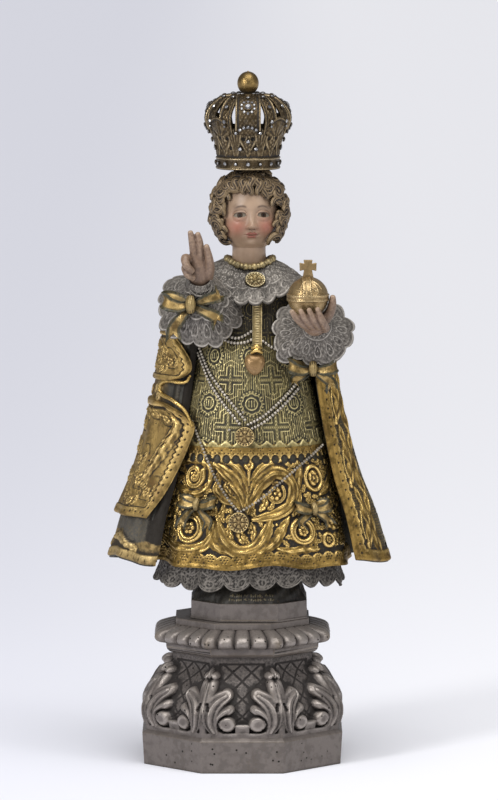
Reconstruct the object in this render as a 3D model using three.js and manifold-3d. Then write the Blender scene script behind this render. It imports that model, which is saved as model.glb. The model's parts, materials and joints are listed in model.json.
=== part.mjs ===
// A carved and painted wooden figure of a crowned child in a lace-trimmed tunic and an open mantle. It blesses with
// its right hand and holds an orb in its left, and it stands on a silvered eight-sided pedestal. The metal crown lifts
// off the head and the gilt orb lies in the hand. Millimetres, +Z up, the front of the figure towards -Y. The origin
// is at the middle of the pedestal's underside.
import * as THREE from "three";
import { mergeVertices } from "three/addons/utils/BufferGeometryUtils.js";
import Module from "manifold-3d";

const wasm = await Module();
wasm.setup();

// Driving dimensions
const seatGap = 0.3; // between pieces that rest on each other

const plinth = { flats: 210, foot: 206, height: 33.5, bevel: 4 };
const drum = { height: 76, neckFlats: 144, bellyFlats: 190, footFlats: 184, bellyAt: 0.3 };
const frieze = { flats: 152, lipFlats: 160, height: 13, lip: 4 };
const gadroon = { flats: 182, height: 19.5, perSide: 4, groove: 4 };
const ledge = { flats: 140, height: 6.5 };
const acanthus = { stem: 8, rise: 9.5, lobe: 7.5, volute: 8, voluteApart: 31, berry: 5.4 };

const block = { flats: 123, face: 61, height: 19 };
const mound = { height: 24, inset: 1.5, top: 98 };
const figure = { height: 452, shift: 7 }; // from the block's top to the crown's seat
const mantle = { wall: 5, back: 26, lapel: 8 };

const crownBand = { radius: 32, height: 13, wall: 2.2, roll: 1.2 };
const crownBowl = { radius: 41.5, height: 31, wall: 2 };
const crownStrap = { quarters: 4, width: 26, wall: 2.4, radius: 45, height: 33, ringRadius: 13 };
const crownPair = { width: 14, spread: THREE.MathUtils.degToRad(13) }; // two narrow straps between each two wide ones
const crownLeaf = { width: 26, height: 12, wall: 2 };
const crownCap = { radius: 15, height: 2.5 };
const crownBall = { radius: 11.3, height: 25 };

const orb = { radius: 21.4, bandWidth: 6, bandProud: 0.8 };
const orbCross = { width: 18, height: 17, arm: 6.5, thickness: 4, stem: 4.5, bedded: 3.5 };

// The figure is drawn on a grid of 452 parts to its height.
const gridHeight = 452;
const part = figure.height / gridHeight;

const silver = new THREE.MeshStandardMaterial({ color: 0x8b847c, roughness: 0.45, metalness: 0.6 });
const painted = new THREE.MeshStandardMaterial({ color: 0x8a6c2e, roughness: 0.4, metalness: 0.5 });
const brass = new THREE.MeshStandardMaterial({ color: 0x7a6236, roughness: 0.35, metalness: 0.9 });
const gilt = new THREE.MeshStandardMaterial({ color: 0xb98e3c, roughness: 0.3, metalness: 0.8 });

// Closed geometry to solid and back
function solid(geometry) {
  const bare = geometry.clone();
  bare.deleteAttribute("normal");
  bare.deleteAttribute("uv");
  const merged = mergeVertices(bare, 1e-3);
  const { position } = merged.attributes;
  const corner = (i) => new THREE.Vector3().fromBufferAttribute(position, i);
  let volume = 0;
  const faces = [];
  for (let i = 0; i < merged.index.count; i += 3) {
    const face = [merged.index.getX(i), merged.index.getX(i + 1), merged.index.getX(i + 2)];
    if (new Set(face).size < 3) continue;
    const [a, b, c] = face.map(corner);
    volume += a.dot(b.cross(c));
    faces.push(face);
  }
  if (volume < 0) faces.forEach((face) => face.reverse());
  return new wasm.Manifold(
    new wasm.Mesh({
      numProp: 3,
      vertProperties: position.array,
      triVerts: new Uint32Array(faces.flat()),
    }),
  );
}

const unite = (pieces) => wasm.Manifold.union(pieces);

// The same body with the pockets filled that its overlapping parts close in: their shells face inward
function withoutPockets(body) {
  return unite(body.decompose().filter((shell) => shell.volume() > 0));
}

function meshOf(name, body, material) {
  const { vertProperties, triVerts } = body.getMesh();
  const geometry = new THREE.BufferGeometry();
  geometry.setAttribute("position", new THREE.BufferAttribute(vertProperties, 3));
  geometry.setIndex(new THREE.BufferAttribute(triVerts, 1));
  geometry.computeVertexNormals();
  const mesh = new THREE.Mesh(geometry, material);
  mesh.name = name;
  return mesh;
}

// A primitive whose vertices are moved by a function
function reshape(geometry, move) {
  const position = geometry.attributes.position;
  const v = new THREE.Vector3();
  for (let i = 0; i < position.count; i++) {
    v.fromBufferAttribute(position, i);
    const to = move(v);
    position.setXYZ(i, to.x, to.y, to.z);
  }
  return geometry;
}

// A cylinder shaped by pointAt(angle from the front, rise from 0 to 1, 1 on the wall or 0 on the axis)
function turned(sides, rows, pointAt) {
  const geometry = new THREE.CylinderGeometry(1, 1, 1, sides, rows);
  return solid(reshape(geometry, (v) => pointAt(Math.atan2(v.x, v.z), v.y + 0.5, Math.hypot(v.x, v.z))));
}

// A sheet with thickness, shaped by pointAt(share across, share down, 1 outside or 0 inside)
function sheet(columns, rows, pointAt) {
  const geometry = new THREE.BoxGeometry(1, 1, 1, columns, rows, 1);
  return solid(reshape(geometry, (v) => pointAt(v.x + 0.5, 0.5 - v.y, v.z + 0.5)));
}

// A tapering limb along points, whose section is a ring of the given radii, pressed flat along an axis if asked
function limb(points, radii, sides, { flat = 1, across = null } = {}) {
  const path = points.map((p) => new THREE.Vector3(...p));
  const last = path.length - 1;
  const frames = path.map((p, i) => {
    const along = path[Math.min(i + 1, last)].clone().sub(path[Math.max(i - 1, 0)]).normalize();
    const hint = across ? new THREE.Vector3(...across) : new THREE.Vector3(0.12, 1, 0.05);
    const side = new THREE.Vector3().crossVectors(along, hint).normalize();
    return { side, up: new THREE.Vector3().crossVectors(side, along).normalize() };
  });
  return turned(sides, last, (angle, rise, wall) => {
    const i = Math.round(rise * last);
    const r = radii[i] * wall;
    return path[i].clone()
      .addScaledVector(frames[i].side, r * Math.cos(angle))
      .addScaledVector(frames[i].up, r * flat * Math.sin(angle));
  });
}

function ball(centre, radii, sides = 10, rows = 7) {
  const [rx, ry, rz] = Array.isArray(radii) ? radii : [radii, radii, radii];
  const geometry = new THREE.SphereGeometry(1, sides, rows);
  geometry.rotateX(Math.PI / 2);
  const middle = new THREE.Vector3(...centre);
  return solid(reshape(geometry, (v) => new THREE.Vector3(v.x * rx, v.y * ry, v.z * rz).add(middle)));
}

const vec = (x, y, z) => new THREE.Vector3(x, y, z);
const mix = THREE.MathUtils.lerp;
const bump = (x, at, width) => Math.exp(-(((x - at) / width) ** 2));

// A smooth curve through stations [where, value, value, ...], read at a place between them
function through(stations) {
  const last = stations.length - 1;
  const slope = (j, k) => {
    const [before, after] = [stations[Math.max(j - 1, 0)], stations[Math.min(j + 1, last)]];
    return (after[k] - before[k]) / (after[0] - before[0]);
  };
  return (where) => {
    let i = stations.findIndex((station) => station[0] > where) - 1;
    if (i < 0) i = where < stations[0][0] ? 0 : last - 1;
    const [from, to] = [stations[i], stations[i + 1]];
    const span = to[0] - from[0];
    const t = THREE.MathUtils.clamp((where - from[0]) / span, 0, 1);
    const ease = t * t * (3 - 2 * t);
    return from.slice(1).map((value, column) => {
      const k = column + 1;
      const leaving = t * (1 - t) ** 2 * slope(i, k);
      const arriving = t * t * (t - 1) * slope(i + 1, k);
      return mix(value, to[k], ease) + span * (leaving + arriving);
    });
  };
}

// Pedestal
const regular = Math.tan(Math.PI / 8); // half a side of an octagon, as a share of half its width across flats

// The distance from the axis to the side of an octagon, at an angle from the front
function octagonReach(angle, halfFlats) {
  const quarter = Math.PI / 4;
  const fromMiddle = angle - Math.round(angle / quarter) * quarter;
  return halfFlats / Math.cos(fromMiddle);
}

const drumFoot = plinth.height + plinth.bevel;
const friezeFoot = drumFoot + drum.height;
const gadroonFoot = friezeFoot + frieze.height;
const ledgeFoot = gadroonFoot + gadroon.height;
const pedestalHeight = ledgeFoot + ledge.height;

// The drum's half width across flats, at a share of its height
const drumShape = through([
  [0, drum.footFlats / 2],
  [drum.bellyAt, drum.bellyFlats / 2],
  [0.62, mix(drum.neckFlats, drum.bellyFlats, 0.5) / 2],
  [0.86, drum.neckFlats / 2],
  [1, mix(drum.neckFlats, frieze.flats, 0.3) / 2],
]);

function eightSided(levels) {
  const rows = levels.length - 1;
  const corner = Math.PI / 8;
  return turned(8, rows, (angle, rise, wall) => {
    const [z, half] = levels[Math.round(rise * rows)];
    const reach = (wall * half) / Math.cos(corner);
    return vec(reach * Math.sin(angle + corner), -reach * Math.cos(angle + corner), z);
  });
}

const sunk = 1; // how far one part runs into the next below it

function plinthBody() {
  return eightSided([
    [0, plinth.foot / 2],
    [plinth.height, plinth.flats / 2],
    [drumFoot, drum.footFlats / 2],
  ]);
}

function friezeAndLedge() {
  const neck = frieze.flats / 2;
  const lip = frieze.lipFlats / 2;
  const top = ledge.flats / 2;
  return eightSided([
    [friezeFoot - sunk, neck],
    [friezeFoot + frieze.lip, neck],
    [gadroonFoot - frieze.lip, lip],
    [gadroonFoot + sunk, lip],
    [gadroonFoot + sunk, top],
    [pedestalHeight, top],
  ]);
}

// The ring of rounded lobes under the ledge, with a lobe on each corner
function gadroonRing() {
  const lobes = 8 * gadroon.perSide;
  const profile = [[0, 0.88], [0.35, 1], [1, 0.78]];
  const rows = profile.length - 1;
  return turned(lobes * 2, rows, (angle, rise, wall) => {
    const [height, share] = profile[Math.round(rise * rows)];
    const crease = 0.5 - 0.5 * Math.cos(lobes * (angle + Math.PI / 8));
    const crest = octagonReach(angle, (gadroon.flats / 2) * share);
    const reach = wall * (crest - gadroon.groove * crease * share);
    return vec(reach * Math.sin(angle), -reach * Math.cos(angle), gadroonFoot + height * gadroon.height);
  });
}

// How far a place is from a line of points
function distanceTo(line, x, z) {
  const place = new THREE.Vector3(x, z, 0);
  const nearest = new THREE.Vector3();
  return Math.min(
    ...line.slice(1).map((end, i) => {
      const stretch = new THREE.Line3(new THREE.Vector3(...line[i], 0), new THREE.Vector3(...end, 0));
      return stretch.closestPointToPoint(place, true, nearest).distanceTo(place);
    }),
  );
}

const rounded = (distance, radius) => Math.sqrt(Math.max(0, 1 - (distance / radius) ** 2));

// The foliage on half a side of the drum, from its middle to the corner: a stem that runs down by the corner and
// rolls in to a volute, a lobe that leans in, and the berry at the corner's top. Height of the carving at a place
function foliage(across, high) {
  const { stem, rise, lobe, volute, voluteApart, berry } = acanthus;
  const corner = (drum.bellyFlats / 2) * regular;
  const [inner, top] = [voluteApart / 2, drum.height];
  const stemLine = [
    [corner, top - berry],
    [corner - stem, top * 0.55],
    [corner - stem, top * 0.2],
    [corner * 0.6, 0],
    [inner, 0],
  ];
  const lobeLine = [
    [corner - stem * 1.5, top * 0.2],
    [corner * 0.55, top * 0.42],
    [inner * 0.6, top * 0.62],
  ];
  return Math.max(
    rise * rounded(distanceTo(stemLine, across, high), stem),
    rise * 0.9 * rounded(distanceTo(lobeLine, across, high), lobe),
    rise * rounded(Math.hypot(across - inner, high - volute * 1.3), volute * 1.2),
    rise * 1.2 * rounded(Math.hypot(across - corner, high - top + berry * 1.6), berry * 1.5),
  );
}

function drumBody() {
  const [columns, rows] = [10, 6];
  const quarter = Math.PI / 4;
  return turned(8 * columns, rows, (angle, rise, wall) => {
    const fromMiddle = angle - Math.round(angle / quarter) * quarter;
    const half = drumShape(rise)[0];
    const across = Math.abs(Math.tan(fromMiddle)) * half;
    const carved = rise > 0 && rise < 1 ? foliage(across, rise * drum.height) : 0;
    const reach = (wall * (half + carved)) / Math.cos(fromMiddle);
    const z = mix(drumFoot - sunk, friezeFoot, rise);
    return vec(reach * Math.sin(angle), -reach * Math.cos(angle), z);
  });
}

function pedestal() {
  return unite([plinthBody(), drumBody(), friezeAndLedge(), gadroonRing()]);
}

// The figure's own base, in a frame whose floor is the block's underside
const ground = block.height;

function blockBody() {
  const half = block.flats / 2;
  const face = block.face / 2;
  const corners = [];
  for (let quarter = 0; quarter < 4; quarter++) {
    for (const [x, y] of [[-face, -half], [face, -half]]) {
      const [cos, sin] = [Math.cos((quarter * Math.PI) / 2), Math.sin((quarter * Math.PI) / 2)];
      corners.push(new THREE.Vector2(x * cos - y * sin, x * sin + y * cos));
    }
  }
  const outline = new THREE.Shape(corners);
  return solid(new THREE.ExtrudeGeometry(outline, { depth: block.height, bevelEnabled: false }));
}

function moundBody() {
  return turned(16, 2, (angle, rise, wall) => {
    const half = mix(block.flats / 2 - mound.inset, mound.top / 2, rise ** 1.6);
    const reach = octagonReach(angle, half) * wall;
    const z = mix(ground - sunk, ground + mound.height, rise);
    return vec(reach * Math.sin(angle), -reach * Math.cos(angle), z);
  });
}

// Points of the figure on its own grid: x from the figure's axis, y from the block's middle, z from the block's top
const on = (x, y, z) => vec(x * part + figure.shift, y * part, z * part + ground);
const at = (x, y, z) => on(x, y, z).toArray();
const grown = (points, radii, sides, options) =>
  limb(points.map((point) => at(...point)), radii.map((r) => r * part), sides, options);

// Tunic and petticoat. Half width, half depth and middle of the tunic by height
const tunicShape = through([
  [38, 105, 74, 4],
  [88, 96, 70, 3],
  [148, 84, 64, 2],
  [188, 76, 60, 1],
  [248, 62, 52, 0],
  [288, 54, 46, 0],
  [318, 48, 42, 0],
  [338, 38, 34, 0],
  [352, 20, 18, 0],
]);
const tunicTop = 352;

function tunicPoint(angle, z, out = 0) {
  const [wide, deep, middle] = tunicShape(z);
  const low = THREE.MathUtils.clamp((130 - z) / 92, 0, 1) ** 2;
  const fold = low * (2.6 * Math.sin(7 * angle + 0.5) + 1.6 * Math.sin(13 * angle));
  return on(middle + (wide + fold + out) * Math.sin(angle), -(deep + fold + out) * Math.cos(angle), z);
}

function tunicBody() {
  return turned(20, 4, (angle, rise, wall) => {
    const hem = 39 + 2.2 * Math.sin(5 * angle + 0.6) + 1.4 * Math.sin(9 * angle);
    return wall ? tunicPoint(angle, mix(hem, tunicTop, rise)) : on(0, 0, rise ? tunicTop : 34);
  });
}

// A row of lobes round an edge: 0 between two lobes and 1 on a lobe
const scallop = (angle, count) => Math.abs(Math.sin((count * angle) / 2)) ** 0.7;

function petticoat() {
  const scallops = 16;
  return turned(scallops * 2, 1, (angle, rise, wall) => {
    const low = 23 - 8 * scallop(angle, scallops) + 2 * Math.sin(3 * angle);
    const flare = mix(1, 0.93, rise) + 0.02 * Math.sin(11 * angle) * (1 - rise);
    if (!wall) return on(0, 0, rise ? 46 : 20);
    return on(1 + 98 * flare * Math.sin(angle), -70 * flare * Math.cos(angle), mix(low, 46, rise));
  });
}

// Mantle. Half width by height, on both sides of the figure
const mantleShape = through([
  [40, 147],
  [89, 133],
  [129, 117],
  [174, 104],
  [215, 95],
  [267, 85],
  [297, 79],
  [327, 62],
  [342, 44],
]);
const mantleTop = 342;
const mantleHem = 42;
const mantleFront = { right: THREE.MathUtils.degToRad(44), left: THREE.MathUtils.degToRad(308) };

// A point of the mantle, whose angle runs from the front by the figure's right side and all the way round
function mantlePoint(angle, z, out) {
  const [wide] = mantleShape(z);
  const behind = THREE.MathUtils.smoothstep(-Math.cos(angle), -0.2, 0.6);
  const low = THREE.MathUtils.clamp((300 - z) / 260, 0, 1);
  const fold = low * (0.035 * wide * behind * Math.sin(9 * angle) + 1.5 * Math.sin(17 * angle));
  const deep = mix(0.5, 0.56, behind) * wide;
  return on(1 - (wide + fold + out) * Math.sin(angle), -(deep + fold + out) * Math.cos(angle), z);
}

function mantleBody() {
  return sheet(16, 4, (across, down, outside) => {
    const angle = mix(mantleFront.right, mantleFront.left, across);
    const back = Math.sin(Math.PI * THREE.MathUtils.clamp(across * 1.3 - 0.15, 0, 1)) ** 2;
    const wall = mix(mantle.wall, mantle.back, back);
    const z = mix(mantleTop, mantleHem + 3 * Math.sin(6 * angle), down);
    return mantlePoint(angle, z, outside ? 0 : -wall);
  });
}

// The mantle's right front turns outward in two flaps, one above the other. Free edge in degrees by height
const lapels = [
  { from: 282, to: 232, edge: through([[231, 57], [236, 44], [246, 38], [262, 44], [282, 60]]), lift: 4 },
  { from: 212, to: 90, edge: through([[90, 44], [140, 33], [180, 32], [196, 40], [206, 56], [212, 78]]), lift: 2 },
];

function lapelBody({ from, to, edge, lift }) {
  return sheet(3, 5, (across, down, outside) => {
    const z = mix(from, to, down);
    const free = THREE.MathUtils.degToRad(edge(z)[0]);
    const angle = mix(free, THREE.MathUtils.degToRad(118), across);
    const out = mantle.lapel * Math.cos((Math.PI / 2) * across ** 2) + lift * (1 - across);
    return mantlePoint(angle, z, outside ? out : -4 * across - 3);
  });
}

// The collar that lies over the shoulders, with a scalloped edge
function collar() {
  const scallops = 12;
  return turned(scallops * 2, 2, (angle, rise, wall) => {
    const side = Math.sin(angle) ** 2;
    const reach = mix(1, 0.2, rise ** 0.8);
    const drop = mix(316 - 14 * side, 358, 1 - (1 - rise) ** 1.6);
    const lobe = (1 - rise) ** 3 * scallop(angle, scallops);
    if (!wall) return on(0, 0, rise ? 358 : 320);
    const [wide, deep] = [82 * reach + 3 * lobe, 51 * reach + 3 * lobe];
    return on(wide * Math.sin(angle) - 1, -deep * Math.cos(angle), drop - 6 * lobe);
  });
}

// A lace cuff that flares round a forearm from the wrist to a scalloped rim
function cuff({ centre, wrist, rim, scallops, phase = 0 }) {
  const from = vec(...centre);
  const along = vec(...wrist).sub(from);
  const axis = along.clone().normalize();
  const side = vec(1, 0, 0).addScaledVector(axis, -axis.x).normalize();
  const up = new THREE.Vector3().crossVectors(axis, side).normalize();
  return turned(scallops * 2, 2, (angle, rise, wall) => {
    const lobe = scallop(angle + phase, scallops) * (1 - rise) ** 2;
    const ripple = 1 + 0.05 * Math.sin(5 * angle + phase) * (1 - rise);
    const spread = wall * (mix(rim, 14, 1 - (1 - rise) ** 1.4) * ripple + lobe * 4);
    const p = from.clone()
      .addScaledVector(along, rise - lobe * 0.1)
      .addScaledVector(side, spread * Math.sin(angle))
      .addScaledVector(up, spread * Math.cos(angle));
    return on(p.x, p.y, p.z);
  });
}

const cuffs = [
  { centre: [-50, -40, 310], wrist: [-50, -76, 335], rim: 42, scallops: 10 },
  { centre: [72, -58, 285], wrist: [70, -87, 296], rim: 33, scallops: 9 },
  { centre: [64, -46, 281], wrist: [68, -76, 291], rim: 36, scallops: 9, phase: 0.25 },
];

// Shoulders and sleeves
function arms() {
  return [
    grown([[-56, -6, 304], [0, -6, 314], [56, -6, 304]], [24, 32, 24], 8),
    grown([[-46, 4, 322], [-62, -6, 302], [-52, -40, 312], [-48, -68, 340]], [24, 26, 21, 12], 6),
    grown([[46, 4, 322], [64, -14, 300], [70, -50, 288], [70, -90, 295]], [24, 26, 20, 11], 6),
    grown([[54, -20, 300], [63, -50, 272], [66, -66, 252]], [26, 23, 17], 6),
  ];
}

// The right hand: two fingers and the thumb up, two fingers folded
function blessingHand() {
  const palm = { flat: 0.7, across: [0, 1, 0] };
  return [
    grown([[-51, -62, 330], [-52, -70, 345], [-55, -74, 362]], [10, 11, 9.5], 8, palm),
    grown([[-56, -74, 361], [-58, -76, 378], [-60.6, -78, 393]], [4.8, 4.4, 2.4], 5),
    grown([[-50.5, -75, 361], [-50.5, -77, 377], [-53, -78, 391]], [4.8, 4.4, 2.4], 5),
    grown([[-43.5, -68, 343], [-41, -75, 355], [-41.5, -80, 367], [-44, -83, 379]], [7, 6, 4.6, 2.2], 5),
    grown([[-61, -72, 361], [-65.5, -84, 363], [-60, -87, 353]], [5, 5, 3.8], 5),
    grown([[-61, -70, 352], [-65.5, -80, 354], [-59, -83, 346]], [4.8, 4.8, 3.6], 5),
  ];
}

// The left hand: four fingers in front of the orb, the thumb beside it
const orbSeat = { x: 61, y: -86, z: 324 };

function holdingHand() {
  const { x, y, z } = orbSeat;
  const palm = { flat: 0.8, across: [0, 0, 1] };
  const fingers = [-13, -5, 3, 11].map((dx, i) =>
    grown(
      [
        [x + 7 + dx * 0.6, y - 5, z - 27],
        [x + 2 + dx, y - 19, z - 20],
        [x - 1 + dx * 1.05, y - 24, z - 9 + i * 0.6],
      ],
      [5.6, 5, 3],
      4,
    ),
  );
  return [
    ...fingers,
    grown([[x + 9, y + 6, z - 31], [x + 6, y - 6, z - 26], [x + 3, y - 12, z - 22]], [11.5, 13, 9], 8, palm),
    grown([[x + 14, y + 2, z - 28], [x + 23, y - 2, z - 14], [x + 24, y - 4, z - 2]], [6.5, 5.4, 2.6], 5),
  ];
}

// Head, turned a little to the figure's left
const skull = { x: 0, y: -6, z: 408, halfWidth: 30, halfDepth: 34, halfHeight: 41, turn: 0.1 };
const onHead = (x, y, z) => {
  const [cos, sin] = [Math.cos(skull.turn), Math.sin(skull.turn)];
  return at(skull.x + x * cos - y * sin, skull.y + x * sin + y * cos, skull.z + z);
};

function headBody() {
  const { halfWidth, halfDepth, halfHeight } = skull;
  const geometry = new THREE.SphereGeometry(1, 10, 8);
  geometry.rotateX(Math.PI / 2);
  const form = reshape(geometry, (v) => {
    const jaw = THREE.MathUtils.smoothstep(-v.z, 0, 1);
    const facing = THREE.MathUtils.smoothstep(-v.y, 0, 0.5);
    const wide = v.x * halfWidth * (1 - 0.24 * jaw);
    const deep = v.y * halfDepth * (1 - 0.08 * jaw * facing) - 1.4 * facing * bump(v.z, 0.18, 0.16);
    return vec(...onHead(wide, deep, v.z * halfHeight));
  });
  const round = (place, radii) => ball(onHead(...place), radii.map((r) => r * part), 6, 4);
  const nose = [[0, -31, 2], [0, -35.5, -9.5], [0, -29, -14]].map((place) => onHead(...place));
  return [
    solid(form),
    limb(nose, [2, 4.2, 3.4].map((r) => r * part), 4),
    round([0, -26, -21.5], [6.5, 4, 3]),
    round([0, -18, -31.5], [8, 6, 5.5]),
    grown([[0, -2, 340], [0, -4, 360], [0, -4, 384]], [19, 16.5, 17], 8),
  ];
}

// The carved curls: a cap that is open over the face, with locks in rows
function hair() {
  const geometry = new THREE.SphereGeometry(1, 16, 8);
  geometry.rotateX(Math.PI / 2);
  const radius = 41;
  return solid(
    reshape(geometry, (v) => {
      const turn = Math.atan2(v.x, -v.y);
      const rise = Math.asin(THREE.MathUtils.clamp(v.z, -1, 1));
      const wave = Math.sin(7 * turn + 4 * Math.sin(3 * rise)) * Math.sin(6 * rise + 1.5 * Math.sin(3 * turn));
      const opening = THREE.MathUtils.smoothstep(Math.cos(turn), 0.6, 0.9);
      const face = opening * THREE.MathUtils.smoothstep(-v.z, -0.6, -0.35);
      const nape = THREE.MathUtils.smoothstep(-v.z, 0.7, 0.95);
      const reach = radius * (1 + 0.08 * wave * Math.cos(rise)) * (1 - 0.45 * face) * (1 - 0.25 * nape);
      return vec(...onHead(v.x * reach - 1, v.y * reach + 3, v.z * reach * 1.02 + 3));
    }),
  );
}

// A ribbon bow: a loop on each hand, a knot and the tails that hang free, facing forward
function bow({ centre, span, lean, tails }) {
  const [x, y, z] = centre;
  const flat = { flat: 0.45, across: [0, 1, 0] };
  const pieces = [-1, 1].flatMap((hand) => {
    const place = (share, lift, front) => {
      const reach = hand * span * share;
      return [x + reach, y + front, z + span * lift + lean * reach];
    };
    return grown([place(0.1, 0, 0), place(0.55, 0.06, -4), place(1, 0.1, 0)], [4, 9, 8.5], 4, flat);
  });
  for (const [dx, dz] of tails) pieces.push(grown([[x, y, z], [x + dx, y, z + dz]], [3, 7], 4, flat));
  pieces.push(ball(at(x, y - 2, z), [5 * part, 4 * part, 5.5 * part], 5, 3));
  return pieces;
}

const bows = [
  { centre: [-59, -76, 316], span: 27, lean: 0.02, tails: [[-20, -34], [26, -16]] },
  { centre: [66, -70, 252], span: 25, lean: 0, tails: [[-22, -18], [20, -22]] },
];

// A strand of beads laid on the tunic from one angle and height to another
function strand([[fromAngle, fromZ], [toAngle, toZ]], sag, radius) {
  const steps = 4;
  const points = Array.from({ length: steps + 1 }, (_, i) => {
    const share = i / steps;
    const z = mix(fromZ, toZ, share) - sag * 4 * share * (1 - share);
    return tunicPoint(mix(fromAngle, toAngle, share), z, radius * 0.4).toArray();
  });
  return limb(points, points.map(() => radius * part), 3);
}

// A round medallion on the tunic
function medallion(angle, z, radius, thick) {
  const ends = [tunicPoint(angle, z, -4).toArray(), tunicPoint(angle, z, thick).toArray()];
  return limb(ends, [radius * part, radius * 0.88 * part], 7);
}

const hung = { angle: 0.14, ribbon: [318, 266], heart: 248 };

function jewels() {
  const ribbon = hung.ribbon.map((z) => tunicPoint(hung.angle, z, 0.5).toArray());
  const heart = tunicPoint(hung.angle, hung.heart, 2);
  const heartShape = reshape(new THREE.SphereGeometry(1, 6, 4), (v) => {
    const wide = v.x * 10 * (v.y > 0 ? 1 : 1 - 0.45 * v.y * v.y);
    return vec(wide, v.z * 5.5, v.y * 12).multiplyScalar(part).add(heart);
  });
  return [
    medallion(-0.06, 177, 10.5, 4.5),
    medallion(-0.1, 92, 11, 5),
    limb(ribbon, ribbon.map(() => 5 * part), 4, { flat: 0.5, across: [0, 1, 0] }),
    solid(heartShape),
    grown([[5, -28, 342], [5, -53, 340]], [11, 10], 7),
    strand([[-0.8, 264], [-0.06, 192]], 2, 4),
    strand([[0.72, 234], [-0.04, 190]], 6, 4),
  ];
}

// The crown stands on a seat that is cut round the top of the head, on the head's own axis
const crownSeat = figure.height + ground;
const crownAxis = { x: figure.shift - part, y: skull.y * part };

function crownSeatCut() {
  const over = 30;
  const radius = crownBand.radius + 14;
  const room = new THREE.CylinderGeometry(radius, radius, over, 12);
  room.rotateX(Math.PI / 2).translate(crownAxis.x, crownAxis.y, crownSeat - seatGap + over / 2);
  return solid(room);
}

function headTop() {
  const radius = crownBand.radius - crownBand.wall - 4;
  return ball([crownAxis.x, crownAxis.y, crownSeat - 8], [radius, radius, 14], 10, 4);
}

const orbCentre = at(orbSeat.x, orbSeat.y, orbSeat.z);

function figureBody() {
  const facets = 12;
  const roomRadius = (orb.radius + orb.bandProud + seatGap) / Math.cos(Math.PI / facets) ** 2;
  const orbRoom = ball(orbCentre, roomRadius, facets, facets / 2 + 2);
  const dressed = unite([
    ...[blockBody(), moundBody(), petticoat(), tunicBody(), mantleBody(), collar()],
    ...lapels.map(lapelBody),
    ...arms(),
    ...cuffs.map(cuff),
    ...blessingHand(),
    ...holdingHand(),
    ...bows.flatMap(bow),
    ...jewels(),
  ]);
  const crowned = unite([...headBody(), hair()]).subtract(crownSeatCut());
  return withoutPockets(unite([dressed.subtract(orbRoom), crowned, headTop()]));
}

// Orb: a ball with a band round its middle, a half band over the top and a cross with flared ends
function crossBody() {
  const { width, height, arm, thickness, stem, bedded } = orbCross;
  const [wide, high, end, neck] = [width / 2, height / 2, arm / 2, (arm / 2) * 0.75];
  const rightHalf = [[end, -high - stem], [neck, -neck], [wide, -end], [wide, end], [neck, neck], [end, high]];
  const leftHalf = rightHalf.map(([x, y]) => [-x, y]).reverse();
  const outline = new THREE.Shape([...rightHalf, ...leftHalf].map(([x, y]) => new THREE.Vector2(x, y)));
  const geometry = new THREE.ExtrudeGeometry(outline, { depth: thickness, bevelEnabled: false });
  const [x, y, z] = orbCentre;
  const middle = z + orb.radius + high + stem - bedded;
  return solid(geometry.rotateX(Math.PI / 2).translate(x, y + thickness / 2, middle));
}

function orbBody() {
  const [x, y, z] = orbCentre;
  const proud = orb.radius + orb.bandProud;
  const hoop = () => new THREE.CylinderGeometry(proud, proud, orb.bandWidth, 16);
  const girdle = hoop().rotateX(Math.PI / 2).translate(x, y, z);
  const arch = hoop().translate(x, y, z);
  const upper = new THREE.BoxGeometry(proud * 2.2, orb.bandWidth * 2, proud * 1.1);
  upper.translate(x, y, z + proud * 0.55);
  const halfBand = solid(arch).intersect(solid(upper));
  return withoutPockets(unite([ball(orbCentre, orb.radius, 14, 8), solid(girdle), halfBand, crossBody()]));
}

// Crown, in a frame whose floor is the band's lower edge and whose axis is the head's
function lathe(profile, segments) {
  const closed = [...profile, profile[0]].map(([r, z]) => new THREE.Vector2(r, z));
  return solid(new THREE.LatheGeometry(closed, segments).rotateX(Math.PI / 2));
}

const bowlTop = crownBand.height + crownBowl.height;
const ringHeight = bowlTop + crownStrap.height;

function crownWall() {
  const { radius, height, wall, roll } = crownBand;
  const curve = [0.4, 0.75, 1].map((share) => [
    mix(radius, crownBowl.radius, share ** 2),
    height + share * crownBowl.height,
  ]);
  const band = [[radius - wall, 0], [radius + roll, 0], [radius + roll, height], [radius, height]];
  const inside = curve.map(([r, z]) => [r - crownBowl.wall, z]).reverse();
  return lathe([...band, ...curve, ...inside, [radius - wall, height]], 16);
}

// A flat blade that stands on the bowl and follows a line of [radius, height, share of its width]
function blade(turn, line, width, wall) {
  const [sin, cos] = [Math.sin(turn), Math.cos(turn)];
  const points = line.map(([r, z]) => [sin * r, -cos * r, z]);
  const radii = line.map((step) => (step[2] * width) / 2);
  return limb(points, radii, 4, { flat: wall / width, across: [sin, -cos, 0] });
}

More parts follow.
